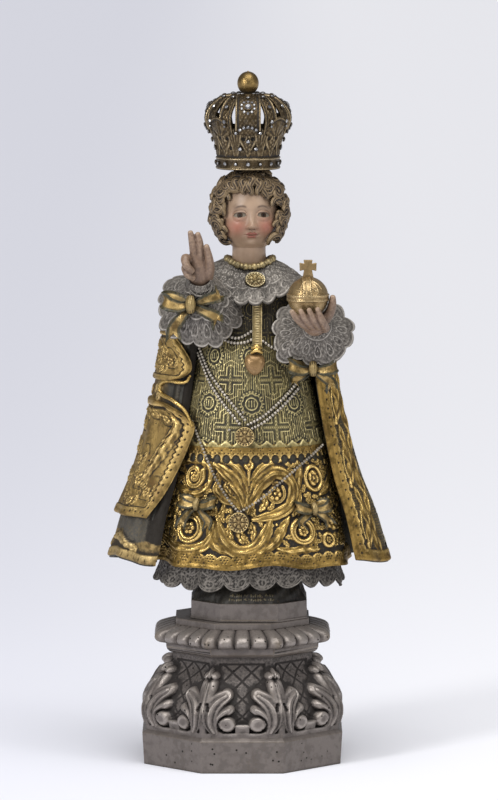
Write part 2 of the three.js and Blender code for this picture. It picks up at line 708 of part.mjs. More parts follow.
function crownBody() {
  const { quarters, radius, height, ringRadius } = crownStrap;
  const rim = crownBowl.radius - 1;
  const strap = (topShare) => [
    [rim, bowlTop - 8, 1],
    [radius, bowlTop + 0.4 * height, 1],
    [mix(radius, ringRadius, 0.4), bowlTop + 0.86 * height, mix(1, topShare, 0.4)],
    [ringRadius - 1, ringHeight, topShare],
  ];
  const leaf = [
    [rim, bowlTop - 6, 0.9],
    [rim + 3, bowlTop + crownLeaf.height, 0.5],
  ];
  const pieces = [crownWall()];
  for (let quarter = 0; quarter < quarters; quarter++) {
    const turn = (quarter * 2 * Math.PI) / quarters;
    const between = turn + Math.PI / quarters;
    pieces.push(blade(turn, strap(0.75), crownStrap.width, crownStrap.wall));
    for (const side of [-crownPair.spread, crownPair.spread]) {
      pieces.push(blade(between + side, strap(0.3), crownPair.width, crownStrap.wall));
    }
    pieces.push(blade(between, leaf, crownLeaf.width, crownLeaf.wall));
  }
  const cap = new THREE.CylinderGeometry(crownCap.radius * 0.85, crownCap.radius, crownCap.height, 12);
  cap.rotateX(Math.PI / 2).translate(0, 0, ringHeight + crownCap.height / 2 - 1);
  const ballFoot = ringHeight + crownCap.height - 2.5;
  const ballRadii = [crownBall.radius, crownBall.radius, crownBall.height / 2];
  pieces.push(solid(cap), ball([0, 0, ballFoot + crownBall.height / 2], ballRadii, 8, 6));
  return unite(pieces);
}

// The whole object
const statue = new THREE.Group();
statue.add(meshOf("pedestal", pedestal(), silver));

const standing = new THREE.Group();
standing.position.z = pedestalHeight + seatGap;
standing.add(meshOf("figure", figureBody(), painted));
standing.add(meshOf("orb", orbBody(), gilt));

const crown = meshOf("crown", crownBody(), brass);
crown.position.set(crownAxis.x, crownAxis.y, crownSeat);
standing.add(crown);
statue.add(standing);

export default statue;
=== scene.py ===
import math

import bmesh
import bpy
import numpy as np
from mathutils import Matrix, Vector
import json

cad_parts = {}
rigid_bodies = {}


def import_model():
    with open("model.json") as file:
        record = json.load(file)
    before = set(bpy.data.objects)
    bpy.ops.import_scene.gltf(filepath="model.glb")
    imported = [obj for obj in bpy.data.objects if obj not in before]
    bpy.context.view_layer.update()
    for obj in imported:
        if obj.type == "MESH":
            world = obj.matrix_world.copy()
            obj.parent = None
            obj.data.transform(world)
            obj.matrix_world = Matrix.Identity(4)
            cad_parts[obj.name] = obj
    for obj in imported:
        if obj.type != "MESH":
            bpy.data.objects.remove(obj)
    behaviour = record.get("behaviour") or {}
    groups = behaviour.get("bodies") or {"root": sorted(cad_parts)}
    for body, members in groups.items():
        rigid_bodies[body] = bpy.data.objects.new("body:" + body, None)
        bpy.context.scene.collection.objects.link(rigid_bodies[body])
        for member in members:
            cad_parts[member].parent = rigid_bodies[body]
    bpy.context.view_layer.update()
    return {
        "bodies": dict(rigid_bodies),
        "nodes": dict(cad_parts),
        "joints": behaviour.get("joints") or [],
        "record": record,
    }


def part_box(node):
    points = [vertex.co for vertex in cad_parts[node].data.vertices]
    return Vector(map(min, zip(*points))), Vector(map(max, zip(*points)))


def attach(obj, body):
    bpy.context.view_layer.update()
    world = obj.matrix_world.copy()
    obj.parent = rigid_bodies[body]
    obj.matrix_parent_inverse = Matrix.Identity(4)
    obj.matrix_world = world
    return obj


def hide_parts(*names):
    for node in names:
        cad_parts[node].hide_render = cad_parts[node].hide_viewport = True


# A carved, gilt and painted wooden figure of a crowned child in a lace-trimmed tunic and an open mantle,
# on a silvered eight-sided pedestal. Shapes are worked out in millimetres and set down in metres.
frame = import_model()

MM = 0.001
TURN = 2 * math.pi
chance = np.random.default_rng(11)


def corners(node):
    low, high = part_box(node)
    return np.array(low) / MM, np.array(high) / MM


figure_low = corners("figure")[0]
crown_low, crown_high = corners("crown")
orb_low, orb_high = corners("orb")

BLOCK_HEIGHT = 19
FIGURE_AXIS = 7
GROUND = figure_low[2] + BLOCK_HEIGHT


# Numbers and curves
def clamp(x, low=0.0, high=1.0):
    return np.clip(x, low, high)


def mix(a, b, share):
    return a + (b - a) * share


def smoothstep(x, low, high):
    t = clamp((x - low) / (high - low))
    return t * t * (3 - 2 * t)


def bump(x, middle, width):
    return np.exp(-(((x - middle) / width) ** 2))


def through(*stations):
    """Smooth curves through stations (where, value, value, ...), read at many places at once."""
    table = np.array(stations, float)
    where, values = table[:, 0], table[:, 1:]
    last = len(table) - 1
    before, after = np.maximum(np.arange(last + 1) - 1, 0), np.minimum(np.arange(last + 1) + 1, last)
    slope = (values[after] - values[before]) / (where[after] - where[before])[:, None]

    def read(at):
        at = clamp(np.asarray(at, float), where[0], where[-1])
        i = np.clip(np.searchsorted(where, at, side="right") - 1, 0, last - 1)
        span = (where[i + 1] - where[i])[..., None]
        t = (at - where[i])[..., None] / span
        ease = t * t * (3 - 2 * t)
        bend = t * (1 - t) ** 2 * slope[i] + t * t * (t - 1) * slope[i + 1]
        result = mix(values[i], values[i + 1], ease) + span * bend
        return result[..., 0] if result.shape[-1] == 1 else np.moveaxis(result, -1, 0)

    return read


def smooth_line(points, parts=6):
    """A smooth line through a few points."""
    p = np.array(points, float)
    if len(p) < 3:
        return p
    q = np.vstack([2 * p[0] - p[1], p, 2 * p[-1] - p[-2]])
    t = np.linspace(0, 1, parts, endpoint=False)[:, None]
    runs = []
    for a, b, c, d in zip(q, q[1:], q[2:], q[3:]):
        bend, end = 2 * a - 5 * b + 4 * c - d, 3 * b - a - 3 * c + d
        runs.append(0.5 * (2 * b + (c - a) * t + bend * t**2 + end * t**3))
    return np.vstack(runs + [p[-1:]])


def spread(values, share):
    """The value at each share of the way along evenly spaced values."""
    return np.interp(share, np.linspace(0, 1, len(values)), values)


def run_of(path):
    """How far along a line each of its points is."""
    return np.concatenate([[0], np.cumsum(np.linalg.norm(np.diff(path, axis=0), axis=1))])


def ring_grid(rows, cols, low=0.0, high=1.0):
    """Ways round from the front, in a row, and shares of the way up, in a column."""
    return np.linspace(0, TURN, cols, endpoint=False)[None], np.linspace(low, high, rows)[:, None]


def arc_grid(rows, cols, start, end):
    """As ring_grid, between two ways round in degrees."""
    return np.radians(np.linspace(start, end, cols))[None], np.linspace(0, 1, rows)[:, None]


def signed(angle):
    """Ways round counted to both sides of the front."""
    return np.where(angle > math.pi, angle - TURN, angle)


def rolled(inward, width):
    """How far a rolled edge has risen, by the way in from it."""
    return np.sqrt(clamp(1 - (1 - clamp(inward / width)) ** 2))


def stacked(*parts):
    return np.stack(np.broadcast_arrays(*parts), -1)


def on(x, y, z):
    """Points of the figure's grid, whose floor is the block's top, in the object's frame."""
    return stacked(x + FIGURE_AXIS, y, z + GROUND).astype(float)


def unit(v):
    return v / np.maximum(np.linalg.norm(v, axis=-1, keepdims=True), 1e-9)


# Meshes
def placed(name, data):
    thing = bpy.data.objects.new(name, data)
    bpy.context.scene.collection.objects.link(thing)
    return thing


def mesh_object(name, points, faces, **marks):
    """A smooth mesh of points in millimetres, with a value at each point for every mark."""
    points = np.asarray(points, float).reshape(-1, 3) * MM
    mesh = bpy.data.meshes.new(name)
    mesh.vertices.add(len(points))
    mesh.vertices.foreach_set("co", points.ravel())
    sides = faces.shape[1]
    mesh.loops.add(faces.size)
    mesh.loops.foreach_set("vertex_index", faces.ravel())
    mesh.polygons.add(len(faces))
    mesh.polygons.foreach_set("loop_start", np.arange(len(faces)) * sides)
    mesh.polygons.foreach_set("loop_total", np.full(len(faces), sides))
    mesh.polygons.foreach_set("use_smooth", np.ones(len(faces), bool))
    mesh.update(calc_edges=True)
    for mark, values in {"ground": 0, **marks}.items():
        layer = mesh.attributes.new(mark, "FLOAT", "POINT")
        layer.data.foreach_set("value", np.broadcast_to(np.ravel(values), len(points)).astype(float))
    return placed(name, mesh)


def points_of(mesh):
    places = np.empty(len(mesh.vertices) * 3)
    mesh.vertices.foreach_get("co", places)
    return places.reshape(-1, 3)


def grid_faces(rows, cols, around=False, start=0):
    row = np.arange(rows - 1)[:, None]
    col = np.arange(cols if around else cols - 1)[None, :]
    following = (col + 1) % cols
    quads = [row * cols + col, row * cols + following, (row + 1) * cols + following, (row + 1) * cols + col]
    return stacked(*quads).reshape(-1, 4) + start


def skin(name, points, around=False, flip=False, **marks):
    """A surface through a grid of points."""
    faces = grid_faces(*points.shape[:2], around)
    return mesh_object(name, points, faces[:, ::-1] if flip else faces, **marks)


def shell(name, outer, inner, around=False, **marks):
    """A closed sheet between two grids of points, with its edges joined."""
    rows, cols = outer.shape[:2]
    size = rows * cols
    faces = [grid_faces(rows, cols, around), grid_faces(rows, cols, around, size)[:, ::-1]]
    edges = [(np.arange(cols), 1), (np.arange(cols) + (rows - 1) * cols, -1)]
    if not around:
        edges += [(np.arange(rows) * cols, -1), (np.arange(rows) * cols + cols - 1, 1)]
    for line, turn in edges:
        a, b = (line, np.roll(line, -1)) if around else (line[:-1], line[1:])
        faces.append(np.stack([b, a, a + size, b + size], -1)[:, ::turn])
    points = np.concatenate([outer.reshape(-1, 3), inner.reshape(-1, 3)])
    doubled = {mark: np.tile(np.ravel(values), 2) if np.ndim(values) else values for mark,
               values in marks.items()}
    return mesh_object(name, points, np.vstack(faces), **doubled)


def facing_out(thing):
    """Merges what lies together and turns every closed shell outward."""
    form = bmesh.new()
    form.from_mesh(thing.data)
    bmesh.ops.remove_doubles(form, verts=form.verts, dist=1e-6)
    bmesh.ops.recalc_face_normals(form, faces=form.faces)
    form.to_mesh(thing.data)
    form.free()
    return thing


def only(*things):
    """Selects these objects alone, with the first one active."""
    bpy.ops.object.select_all(action="DESELECT")
    for thing in things:
        thing.select_set(True)
    bpy.context.view_layer.objects.active = things[0]


def primitive(kind, **settings):
    """Adds a primitive with nothing else selected."""
    bpy.ops.object.select_all(action="DESELECT")
    getattr(bpy.ops.mesh, f"primitive_{kind}_add")(**settings)
    return bpy.context.object


def mode(word):
    bpy.ops.object.mode_set(mode=word)


def all_faces():
    bpy.ops.mesh.select_all(action="SELECT")


def extruded(x, y, z):
    bpy.ops.mesh.extrude_region_move(TRANSFORM_OT_translate={"value": (x, y, z)})


def apply_modifier(thing, kind, **settings):
    only(thing)
    modifier = thing.modifiers.new(kind.title(), kind)
    for setting, value in settings.items():
        setattr(modifier, setting, value)
    bpy.ops.object.modifier_apply(modifier=modifier.name)
    return thing


def joined(name, things):
    only(*things)
    bpy.ops.object.join()
    things[0].name = things[0].data.name = name
    return things[0]


def ball(name, middle, sizes):
    """A ball in millimetres, pressed to its half sizes."""
    thing = primitive("uv_sphere", segments=64, ring_count=40, radius=1)
    thing.name = name
    thing.scale = [size * MM for size in sizes]
    thing.location = (np.array(middle) * MM).tolist()
    return settle(thing)


def settle(thing):
    """Puts an object's place, turn and size into its mesh."""
    only(thing)
    bpy.ops.object.transform_apply(location=True, rotation=True, scale=True)
    return thing


def tube(name, points, radii, sides=12, flat=1.0, across=(0.12, 1, 0.05), ribs=0):
    """A tapering limb with round ends along points in millimetres, pressed flat along an axis if asked."""
    path = np.array(points, float)
    radius = np.array(radii, float)
    first, final = unit(path[0] - path[1]), unit(path[-1] - path[-2])
    steps = np.array([1.0, 0.72, 0.35])
    reach = np.sqrt(1 - steps**2 * 0.999)
    path = np.vstack([
        *(path[0] + first * radius[0] * s * 0.9 for s in steps), path,
        *(path[-1] + final * radius[-1] * s * 0.9 for s in steps[::-1]),
    ])
    radius = np.concatenate([radius[0] * reach, radius, radius[-1] * reach[::-1]])
    along = unit(np.gradient(path, axis=0))
    side = unit(np.cross(along, np.array(across, float)))
    up = np.cross(side, along)
    turn = np.linspace(0, TURN, sides, endpoint=False)
    rib = 1 + ribs * np.cos(turn * max(3, sides // 3))
    c, s = np.cos(turn) * rib, np.sin(turn) * flat * rib
    ring = side[:, None] * c[None, :, None] + up[:, None] * s[None, :, None]
    wall = path[:, None] + ring * radius[:, None, None]
    rows = len(path)
    around = np.arange(sides)
    following = (around + 1) % sides
    base = (rows - 1) * sides
    caps = [np.stack([around, following, np.full(sides, rows * sides)], -1),
            np.stack([base + following, base + around, np.full(sides, rows * sides + 1)], -1)]
    points = np.vstack([wall.reshape(-1, 3), path[0], path[-1]]) * MM
    faces = grid_faces(rows, sides, True)[:, ::-1].tolist() + np.vstack(caps).tolist()
    mesh = bpy.data.meshes.new(name)
    mesh.from_pydata(points.tolist(), [], faces)
    mesh.polygons.foreach_set("use_smooth", np.ones(len(faces), bool))
    return placed(name, mesh)


# Carving: heights over a surface that is laid out flat, in millimetres. UNDER is lower than any ground
UNDER = -9


class Carving:
    def __init__(self, across, up, height=0.0):
        self.across, self.up = np.broadcast_arrays(across, up)
        self.height = np.broadcast_to(np.asarray(height, float), self.across.shape).copy()

    def near(self, line, reach):
        """The rows and columns within reach of a line."""
        line = np.array(line, float)
        (a0, b0), (a1, b1) = line.min(0) - reach, line.max(0) + reach
        inside = (self.across > a0) & (self.across < a1) & (self.up > b0) & (self.up < b1)
        rows, cols = np.flatnonzero(inside.any(1)), np.flatnonzero(inside.any(0))
        if not len(rows):
            return slice(0), slice(0)
        return slice(rows[0], rows[-1] + 1), slice(cols[0], cols[-1] + 1)

    def measure(self, line, window):
        """How far each place is from a line, on which side, and how far along."""
        a, b = self.across[window], self.up[window]
        best = np.full(a.shape, 1e9)
        share, side = np.zeros(a.shape), np.zeros(a.shape)
        start = run_of(line)
        start = start / max(start[-1], 1e-9)
        for i in range(len(line) - 1):
            (ax, ay), (bx, by) = line[i], line[i + 1]
            dx, dy = bx - ax, by - ay
            t = clamp(((a - ax) * dx + (b - ay) * dy) / (dx * dx + dy * dy + 1e-9))
            px, py = a - ax - t * dx, b - ay - t * dy
            away = np.hypot(px, py)
            closer = away < best
            best = np.where(closer, away, best)
            share = np.where(closer, start[i] + t * (start[i + 1] - start[i]), share)
            side = np.where(closer, np.sign(dx * py - dy * px), side)
        return best, share, side

    def raise_to(self, value, inside, window=...):
        """Raises what is inside to a height, where it is lower."""
        self.height[window] = np.maximum(self.height[window], np.where(inside, value, UNDER))

    def ridge(self, points, widths, height, form="round"):
        """A ridge along a line. Its half width goes through widths."""
        line = smooth_line(points)
        widths = np.atleast_1d(np.array(widths, float))
        window = self.near(line, widths.max() + 1)
        away, share, _ = self.measure(line, window)
        u = away / np.maximum(spread(widths, share), 0.05)
        profile = np.sqrt(clamp(1 - u * u))
        if form == "vein":
            profile = profile * (1 - 0.45 * bump(u, 0, 0.2))
        self.raise_to(height * profile, u < 1, window)

    def leaf(self, points, width, height, lobes=5):
        """An acanthus leaf along a line: lobes on both sides of a grooved rib, narrowing to the tip."""
        line = smooth_line(points)
        window = self.near(line, width * 1.3)
        away, share, side = self.measure(line, window)
        edge = 0.62 + 0.38 * np.abs(np.sin(math.pi * (lobes * share - 0.15 * side)))
        taper = clamp(np.sin(math.pi * clamp(share * 0.86 + 0.14)) * 1.15) ** 0.6
        u = away / np.maximum(width * edge * taper, 0.05)
        feather = 0.5 + 0.5 * np.cos(TURN * (lobes * share - 0.55 * u + 0.25 * side))
        profile = clamp(1 - u * u) ** 0.45 * (0.62 + 0.38 * feather)
        profile = profile * (1 - 0.5 * bump(away, 0, 0.13 * width))
        self.raise_to(height * profile, u < 1, window)

    def plume(self, points, widths, height, flutes=3, lobes=0, cut=0.28):
        """A broad fluted leaf. Its half width goes through widths, and lobes scallop its edges."""
        line = smooth_line(points)
        window = self.near(line, max(widths) * 1.15 + 1)
        away, share, side = self.measure(line, window)
        half = spread(widths, share)
        if lobes:
            half = half * (0.80 + 0.20 * np.abs(np.sin(math.pi * (lobes * share + 0.2 * side))) ** 0.7)
        u = away / np.maximum(half, 0.05)
        dome = clamp(1 - u * u) ** 0.4
        flute = 1 - cut + cut * np.cos(math.pi * flutes * u * (0.9 + 0.1 * side)) - cut * bump(u, 0, 0.07)
        if lobes:
            flute = flute * (0.86 + 0.14 * np.cos(TURN * (lobes * share - 0.7 * u)))
        self.raise_to(height * dome * flute, u < 1, window)

    def spiral(self, centre, radius, turns, width, height, start=0.0, hand=1):
        """A grooved scroll that winds in to a bead."""
        bead = 0.2 * radius
        a = np.linspace(0, 1, int(10 * turns) + 4)
        r = radius * (1 - a) ** 0.8 + bead * a
        angle = start + hand * a * turns * TURN
        line = np.stack([centre[0] + r * np.cos(angle), centre[1] + r * np.sin(angle)], -1)
        self.ridge(line, [width, width * 0.55], height, "vein")
        self.ridge([centre, (centre[0] + 0.01, centre[1])], bead, height * 1.15)

    def flower(self, centre, radius, petals, height, turn=0.0):
        window = self.near([centre], radius * 1.1)
        a, b = self.across[window] - centre[0], self.up[window] - centre[1]
        r, angle = np.hypot(a, b) / radius, np.arctan2(b, a) + turn
        petal = np.abs(np.cos(petals * angle / 2))
        cup = bump(r, 0.62, 0.28) * (0.45 + 0.55 * petal) + 1.1 * bump(r, 0, 0.2)
        self.raise_to(height * clamp(cup + 0.15), r < 0.72 + 0.28 * petal**0.7, window)

    def ring(self, centre, radius, width, height, form="round"):
        turn = np.linspace(0, TURN, 25)
        line = np.stack([centre[0] + radius * np.cos(turn), centre[1] + radius * np.sin(turn)], -1)
        self.ridge(line, width, height, form)

    def pits(self, places, radius, depth):
        for place in places:
            window = self.near([place], radius * 2.5)
            r = np.hypot(self.across[window] - place[0], self.up[window] - place[1])
            self.height[window] -= depth * np.exp(-((r / radius) ** 4))

    def cut(self, points, width, depth):
        line = smooth_line(points)
        window = self.near(line, width * 3)
        away = self.measure(line, window)[0]
        self.height[window] -= depth * np.exp(-((away / width) ** 2))


def blurred(height, reach, around=False):
    """The mean of the heights round each place."""
    width = 2 * reach + 1
    for axis in (0, 1):
        pad = [(0, 0), (0, 0)]
        pad[axis] = (reach + 1, reach)
        total = np.cumsum(np.pad(height, pad, mode="wrap" if around and axis else "edge"), axis=axis)
        ahead = np.take(total, range(width, total.shape[axis]), axis=axis)
        behind = np.take(total, range(0, total.shape[axis] - width), axis=axis)
        height = (ahead - behind) / width
    return height


def crest_of(height, reach=4, gain=0.5, around=False):
    """0 in a recess, 0.5 on a plain stretch, 1 on a crest."""
    return clamp(0.5 + gain * (height - blurred(blurred(height, reach, around), reach, around)))


def normals_of(points, around=False):
    """Unit normals of a grid of points, from its rows and columns."""
    across = np.roll(points, -1, 1) - np.roll(points, 1, 1) if around else np.gradient(points, axis=1)
    return unit(np.cross(across, np.gradient(points, axis=0)))


# Finishes
class Finish:
    """A material built of nodes around one Principled shader."""

    def __init__(self, name, slot):
        self.material = bpy.data.materials.new(name)
        self.material.use_nodes = True
        self.tree = self.material.node_tree
        self.shader = self.tree.nodes["Principled BSDF"]
        self.place = self.node("TexCoord").outputs["Object"]
        self.slot = slot

    def node(self, kind, **settings):
        node = self.tree.nodes.new("ShaderNode" + kind)
        for setting, value in settings.items():
            setattr(node, setting, value)
        return node

    def wire(self, value, socket):
        if isinstance(value, bpy.types.NodeSocket):
            self.tree.links.new(value, socket)
        else:
            socket.default_value = (*value, 1) if isinstance(value, tuple) and len(value) == 3 else value

    def math(self, operation, a, b=0.0, limit=False):
        node = self.node("Math", operation=operation, use_clamp=limit)
        for socket, value in zip(node.inputs, (a, b)):
            self.wire(value, socket)
        return node.outputs[0]

    def plus(self, a, b, limit=False):
        return self.math("ADD", a, b, limit)

    def times(self, a, b, limit=False):
        return self.math("MULTIPLY", a, b, limit)

    def remap(self, value, side, low, high, form):
        node = self.node("MapRange", interpolation_type=form)
        self.wire(value, node.inputs["Value"])
        node.inputs[side + " Min"].default_value = low
        node.inputs[side + " Max"].default_value = high
        return node.outputs["Result"]

    def step(self, value, low, high):
        return self.remap(value, "From", low, high, "SMOOTHSTEP")

    def between(self, share, a, b):
        return self.remap(share, "To", a, b, "LINEAR")

    def blend(self, share, a, b):
        node = self.node("Mix", data_type="RGBA")
        for socket, value in ((0, share), (6, a), (7, b)):
            self.wire(value, node.inputs[socket])
        return node.outputs[2]

    def noise(self, scale, detail=3.0, rough=0.5):
        node = self.node("TexNoise")
        settings = {"Scale": scale, "Detail": detail, "Roughness": rough, "Vector": self.place}
        for socket, value in settings.items():
            self.wire(value, node.inputs[socket])
        return node.outputs["Fac"]

    def mark(self, name):
        return self.node("Attribute", attribute_name=name).outputs["Fac"]

    def set(self, **sockets):
        for socket, value in sockets.items():
            self.wire(value, self.shader.inputs[socket.replace("_", " ")])

    def relief(self, height, distance):
        node = self.node("Bump")
        node.inputs["Distance"].default_value = distance * MM
        self.wire(height, node.inputs["Height"])
        self.wire(node.outputs[0], self.shader.inputs["Normal"])


UMBER = (0.013, 0.009, 0.005)
GREEN = (0.014, 0.016, 0.008)


def carved_finish(name, slot, light, body, metallic, rough, recess=UMBER, ground=GREEN,
                  bare=(0.2, 0.09, 0.04), wear=0.25, dulled=0.42, grain=0.4):
    """Leaf or paint over carved wood: a painted highlight on the crests, painted shade and dark patina in the
    recesses, ground where marked.
    """
    finish = Finish(name, slot)
    plus, times, step = finish.plus, finish.times, finish.step
    crest, painted = finish.mark("crest"), finish.mark("ground")
    cloud, patch = finish.noise(38, 4), finish.noise(150, 3, 0.6)
    speck, fine = finish.noise(420, 4, 0.6), finish.noise(1900, 2)
    scatter = times(finish.math("SUBTRACT", speck, 0.5), 0.45)
    # Painted shade: ambient occlusion darkens corners, undersides and the gaps between pieces, as low crests
    # do.
    corner = finish.node("AmbientOcclusion", samples=6)
    corner.inputs["Distance"].default_value = 9 * MM
    uneven = plus(crest, scatter)
    occlusion_shade = step(plus(corner.outputs["AO"], scatter), 0.7, 0.2)
    low = finish.math("MAXIMUM", step(uneven, 0.46, 0.2), occlusion_shade)
    # Painted highlight: the crests are lightened towards the light colour.
    high = step(uneven, 0.5, 0.82)
    dull = step(plus(cloud, patch), 0.92, 1.16)
    colour = finish.blend(dull, body, tuple(dulled * c for c in body))
    colour = finish.blend(times(high, 0.92), colour, light)
    rubbed = times(step(plus(speck, times(cloud, 0.6)), 0.86, 1.0), wear)
    colour = finish.blend(rubbed, colour, bare)
    tinted = times(painted, finish.between(step(speck, 0.3, 0.75), 1.0, 0.8), limit=True)
    colour = finish.blend(tinted, colour, ground)
    covered = finish.math("SUBTRACT", 1.0, finish.math("MAXIMUM", times(low, 0.9), tinted))
    sheen = plus(finish.between(high, rough[1], rough[0]), times(low, 0.3))
    sheen = plus(plus(sheen, times(dull, 0.08)), times(scatter, 0.2), limit=True)
    finish.set(Base_Color=finish.blend(times(low, 0.95), colour, recess), Metallic=times(covered, metallic),
               Roughness=sheen)
    finish.relief(plus(plus(times(fine, 0.3), times(speck, 0.7)), patch), grain)
    return finish


gilding = carved_finish("worn gilding", "gilt_robe", (0.86, 0.60, 0.21), (0.32, 0.203, 0.056), 0.92,
                        (0.2, 0.38))
flap_gilding = carved_finish("rubbed gilding", "gilt_robe", (0.78, 0.55, 0.21), (0.38, 0.255, 0.085), 0.85,
                             (0.27, 0.45), wear=0.4, dulled=0.55, grain=0.8)
ribbon_gilding = carved_finish("gilt ribbon with dark green edges", "gilt_robe", (0.66, 0.47, 0.19),
                               (0.32, 0.215, 0.078), 0.8, (0.28, 0.42), ground=(0.016, 0.02, 0.009))
pale_gilding = carved_finish("pale gilding", "gilt_robe", (0.80, 0.68, 0.40), (0.42, 0.32, 0.145), 0.85,
                             (0.3, 0.45))
bronzing = carved_finish("bronzed plaques", "gilt_robe", (0.58, 0.44, 0.20), (0.22, 0.15, 0.065), 0.85,
                         (0.3, 0.42), dulled=0.7)
heart_gilding = carved_finish("tan gilding", "gilt_robe", (0.33, 0.2, 0.085), (0.235, 0.14, 0.056), 0.45,
                              (0.22, 0.32), wear=0.03)
orb_gilding = carved_finish("orb gilding", "gilt_orb", (0.54, 0.40, 0.21), (0.34, 0.232, 0.105), 0.75,
                            (0.2, 0.32), bare=(0.3, 0.14, 0.05), wear=0.3, dulled=0.7)
brocade = carved_finish("green-glazed brocade", "gilt_robe", (0.84, 0.71, 0.34), (0.30, 0.24, 0.095), 0.75,
                        (0.26, 0.45))
lining = carved_finish("grey-green lining", "dark_paint", (0.16, 0.15, 0.12), (0.07, 0.068, 0.055), 0.25,
                       (0.4, 0.6), recess=(0.012, 0.012, 0.01), wear=0.1)
lining_and_gilt = carved_finish("gilt hem over the lining", "gilt_robe", (0.66, 0.48, 0.21),
                                (0.34, 0.24, 0.10), 0.85, (0.36, 0.52), ground=(0.062, 0.058, 0.047),
                                wear=0.4, grain=0.8)
lace = carved_finish("silvered lace", "silvered_lace", (0.56, 0.515, 0.455), (0.188, 0.168, 0.144), 0.45,
                     (0.36, 0.55), recess=(0.016, 0.013, 0.011), ground=(0.040, 0.035, 0.030),
                     bare=(0.10, 0.07, 0.045), wear=0.2, dulled=0.65)
pearl = carved_finish("silvery beads", "silvered_lace", (0.6, 0.54, 0.45), (0.33, 0.29, 0.23), 0.5,
                      (0.22, 0.35), recess=(0.03, 0.025, 0.018), wear=0.05)
silvered = carved_finish("silvered wood", "silvered_wood", (0.34, 0.30, 0.268), (0.178, 0.153, 0.137), 0.5,
                         (0.28, 0.42), recess=(0.014, 0.010, 0.008), ground=(0.10, 0.065, 0.025),
                         bare=(0.10, 0.075, 0.05), wear=0.3, dulled=0.8)
hollow = carved_finish("wormholes", "silvered_wood", UMBER, UMBER, 0.0, (0.8, 0.9), ground=UMBER, wear=0)
dark_mound = carved_finish("dark mound", "dark_paint", (0.16, 0.13, 0.07), (0.028, 0.024, 0.017), 0.1,
                           (0.3, 0.5), recess=(0.008, 0.007, 0.006), wear=0.1)
# The hands are painted a darker brown than the face: partly brown patina, partly painted shade.
hand_paint = carved_finish("browned and shaded flesh", "flesh_paint", (0.38, 0.265, 0.18), (0.19, 0.12, 0.08), 0.0,
                           (0.3, 0.42), recess=(0.05, 0.026, 0.015), ground=(0.02, 0.012, 0.008),
                           wear=0.0, dulled=0.75, grain=0.15)
hair_paint = carved_finish("brown hair", "hair_paint", (0.25, 0.175, 0.092), (0.052, 0.034, 0.021), 0.3,
                           (0.34, 0.5), recess=(0.008, 0.0055, 0.004), wear=0.1, dulled=0.6)
crown_brass = carved_finish("old brass", "crown_brass", (0.40, 0.31, 0.18), (0.09, 0.063, 0.032), 0.9,
                            (0.22, 0.38), recess=(0.010, 0.008, 0.007), bare=(0.2, 0.18, 0.16), wear=0.3,
                            dulled=0.6)
ball_gilding = carved_finish("brass ball", "crown_brass", (0.36, 0.25, 0.095), (0.29, 0.195, 0.075), 1.0,
                             (0.26, 0.34), wear=0.05, dulled=0.7)
paste = Finish("paste stones", "paste_stone")
# Painted glints: noise spots in the stones' colour stand in for the sparkle of their facets.
painted_glints = paste.step(paste.noise(300, 2), 0.4, 0.6)
paste.set(Base_Color=paste.blend(painted_glints, (0.46, 0.46, 0.46), (0.17, 0.17, 0.18)), Metallic=0.6,
          Roughness=0.12)

flesh = Finish("painted flesh", "flesh_paint")
speck = flesh.noise(700, 3)
tone = flesh.blend(flesh.step(flesh.noise(60, 4), 0.3, 0.75), (0.42, 0.29, 0.195), (0.27, 0.18, 0.115))
for mark, strength, colour in [("blush", 0.75, (0.40, 0.125, 0.08)), ("lips", 0.9, (0.27, 0.07, 0.05)),
                               ("white", 1, (0.19, 0.16, 0.12)), ("iris", 1, (0.04, 0.022, 0.012)),
                               ("dark", 0.85, (0.06, 0.032, 0.018)), ("pupil", 1, (0.008, 0.006, 0.005))]:
    tone = flesh.blend(flesh.times(flesh.mark(mark), strength), tone, colour)
# Painted shade with grime: the skin darkens in the hollows of the carving, by the crest mark.
shade_and_grime = flesh.step(flesh.plus(flesh.mark("crest"), flesh.times(speck, 0.12)), 0.54, 0.2)
flesh.set(Base_Color=flesh.blend(flesh.times(shade_and_grime, 0.85), tone, (0.085, 0.045, 0.027)),
          Roughness=flesh.between(speck, 0.34, 0.48),
          Specular_IOR_Level=flesh.between(flesh.mark("white"), 0.5, 0.12))
flesh.relief(speck, 0.12)


def finished(thing, finish, node="figure"):
    """Gives a piece its finish and says what it rides on and stands for."""
    thing.data.materials.clear()
    thing.data.materials.append(finish.material)
    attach(thing, "root")
    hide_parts(node)
    return thing


# Tunic: half width, half depth and middle by height
tunic_shape = through((38, 105, 74, 4), (88, 96, 70, 3), (148, 84, 64, 2), (188, 76, 60, 1), (248, 62, 52, 0),
                      (288, 54, 46, 0), (318, 48, 42, 0), (338, 38, 34, 0), (352, 20, 18, 0))
SKIRT_LAID = 93
BODICE_LAID = 72


def tunic_point(angle, z, out=0.0):
    wide, deep, middle = tunic_shape(z)
    fold = clamp((130 - z) / 92) ** 2 * (2.6 * np.sin(7 * angle + 0.5) + 1.6 * np.sin(13 * angle))
    return on(middle + (wide + fold + out) * np.sin(angle), -(deep + fold + out) * np.cos(angle), z)


def tunic_hem(angle):
    return 39 + 2.2 * np.sin(5 * angle + 0.6) + 1.4 * np.sin(9 * angle)


def laid(x, z, width):
    """A place seen from the front, on the tunic laid out flat."""
    wide, _, middle = tunic_shape(z)
    return width * math.asin(float(clamp((x - middle) / wide, -0.99, 0.99))), z


def front_columns(reach, ahead, behind):
    """Ways round, close together over the front and far apart behind."""
    return np.concatenate([np.linspace(-reach, reach, ahead),
                           np.linspace(reach, TURN - reach, behind)[1:-1]])[None]


SKIRT_TOP = 168
BAND_FOOT = 155
BEAD_ROW, BEAD_STEP = 152.4, 11.7
SCALLOP = 13.8


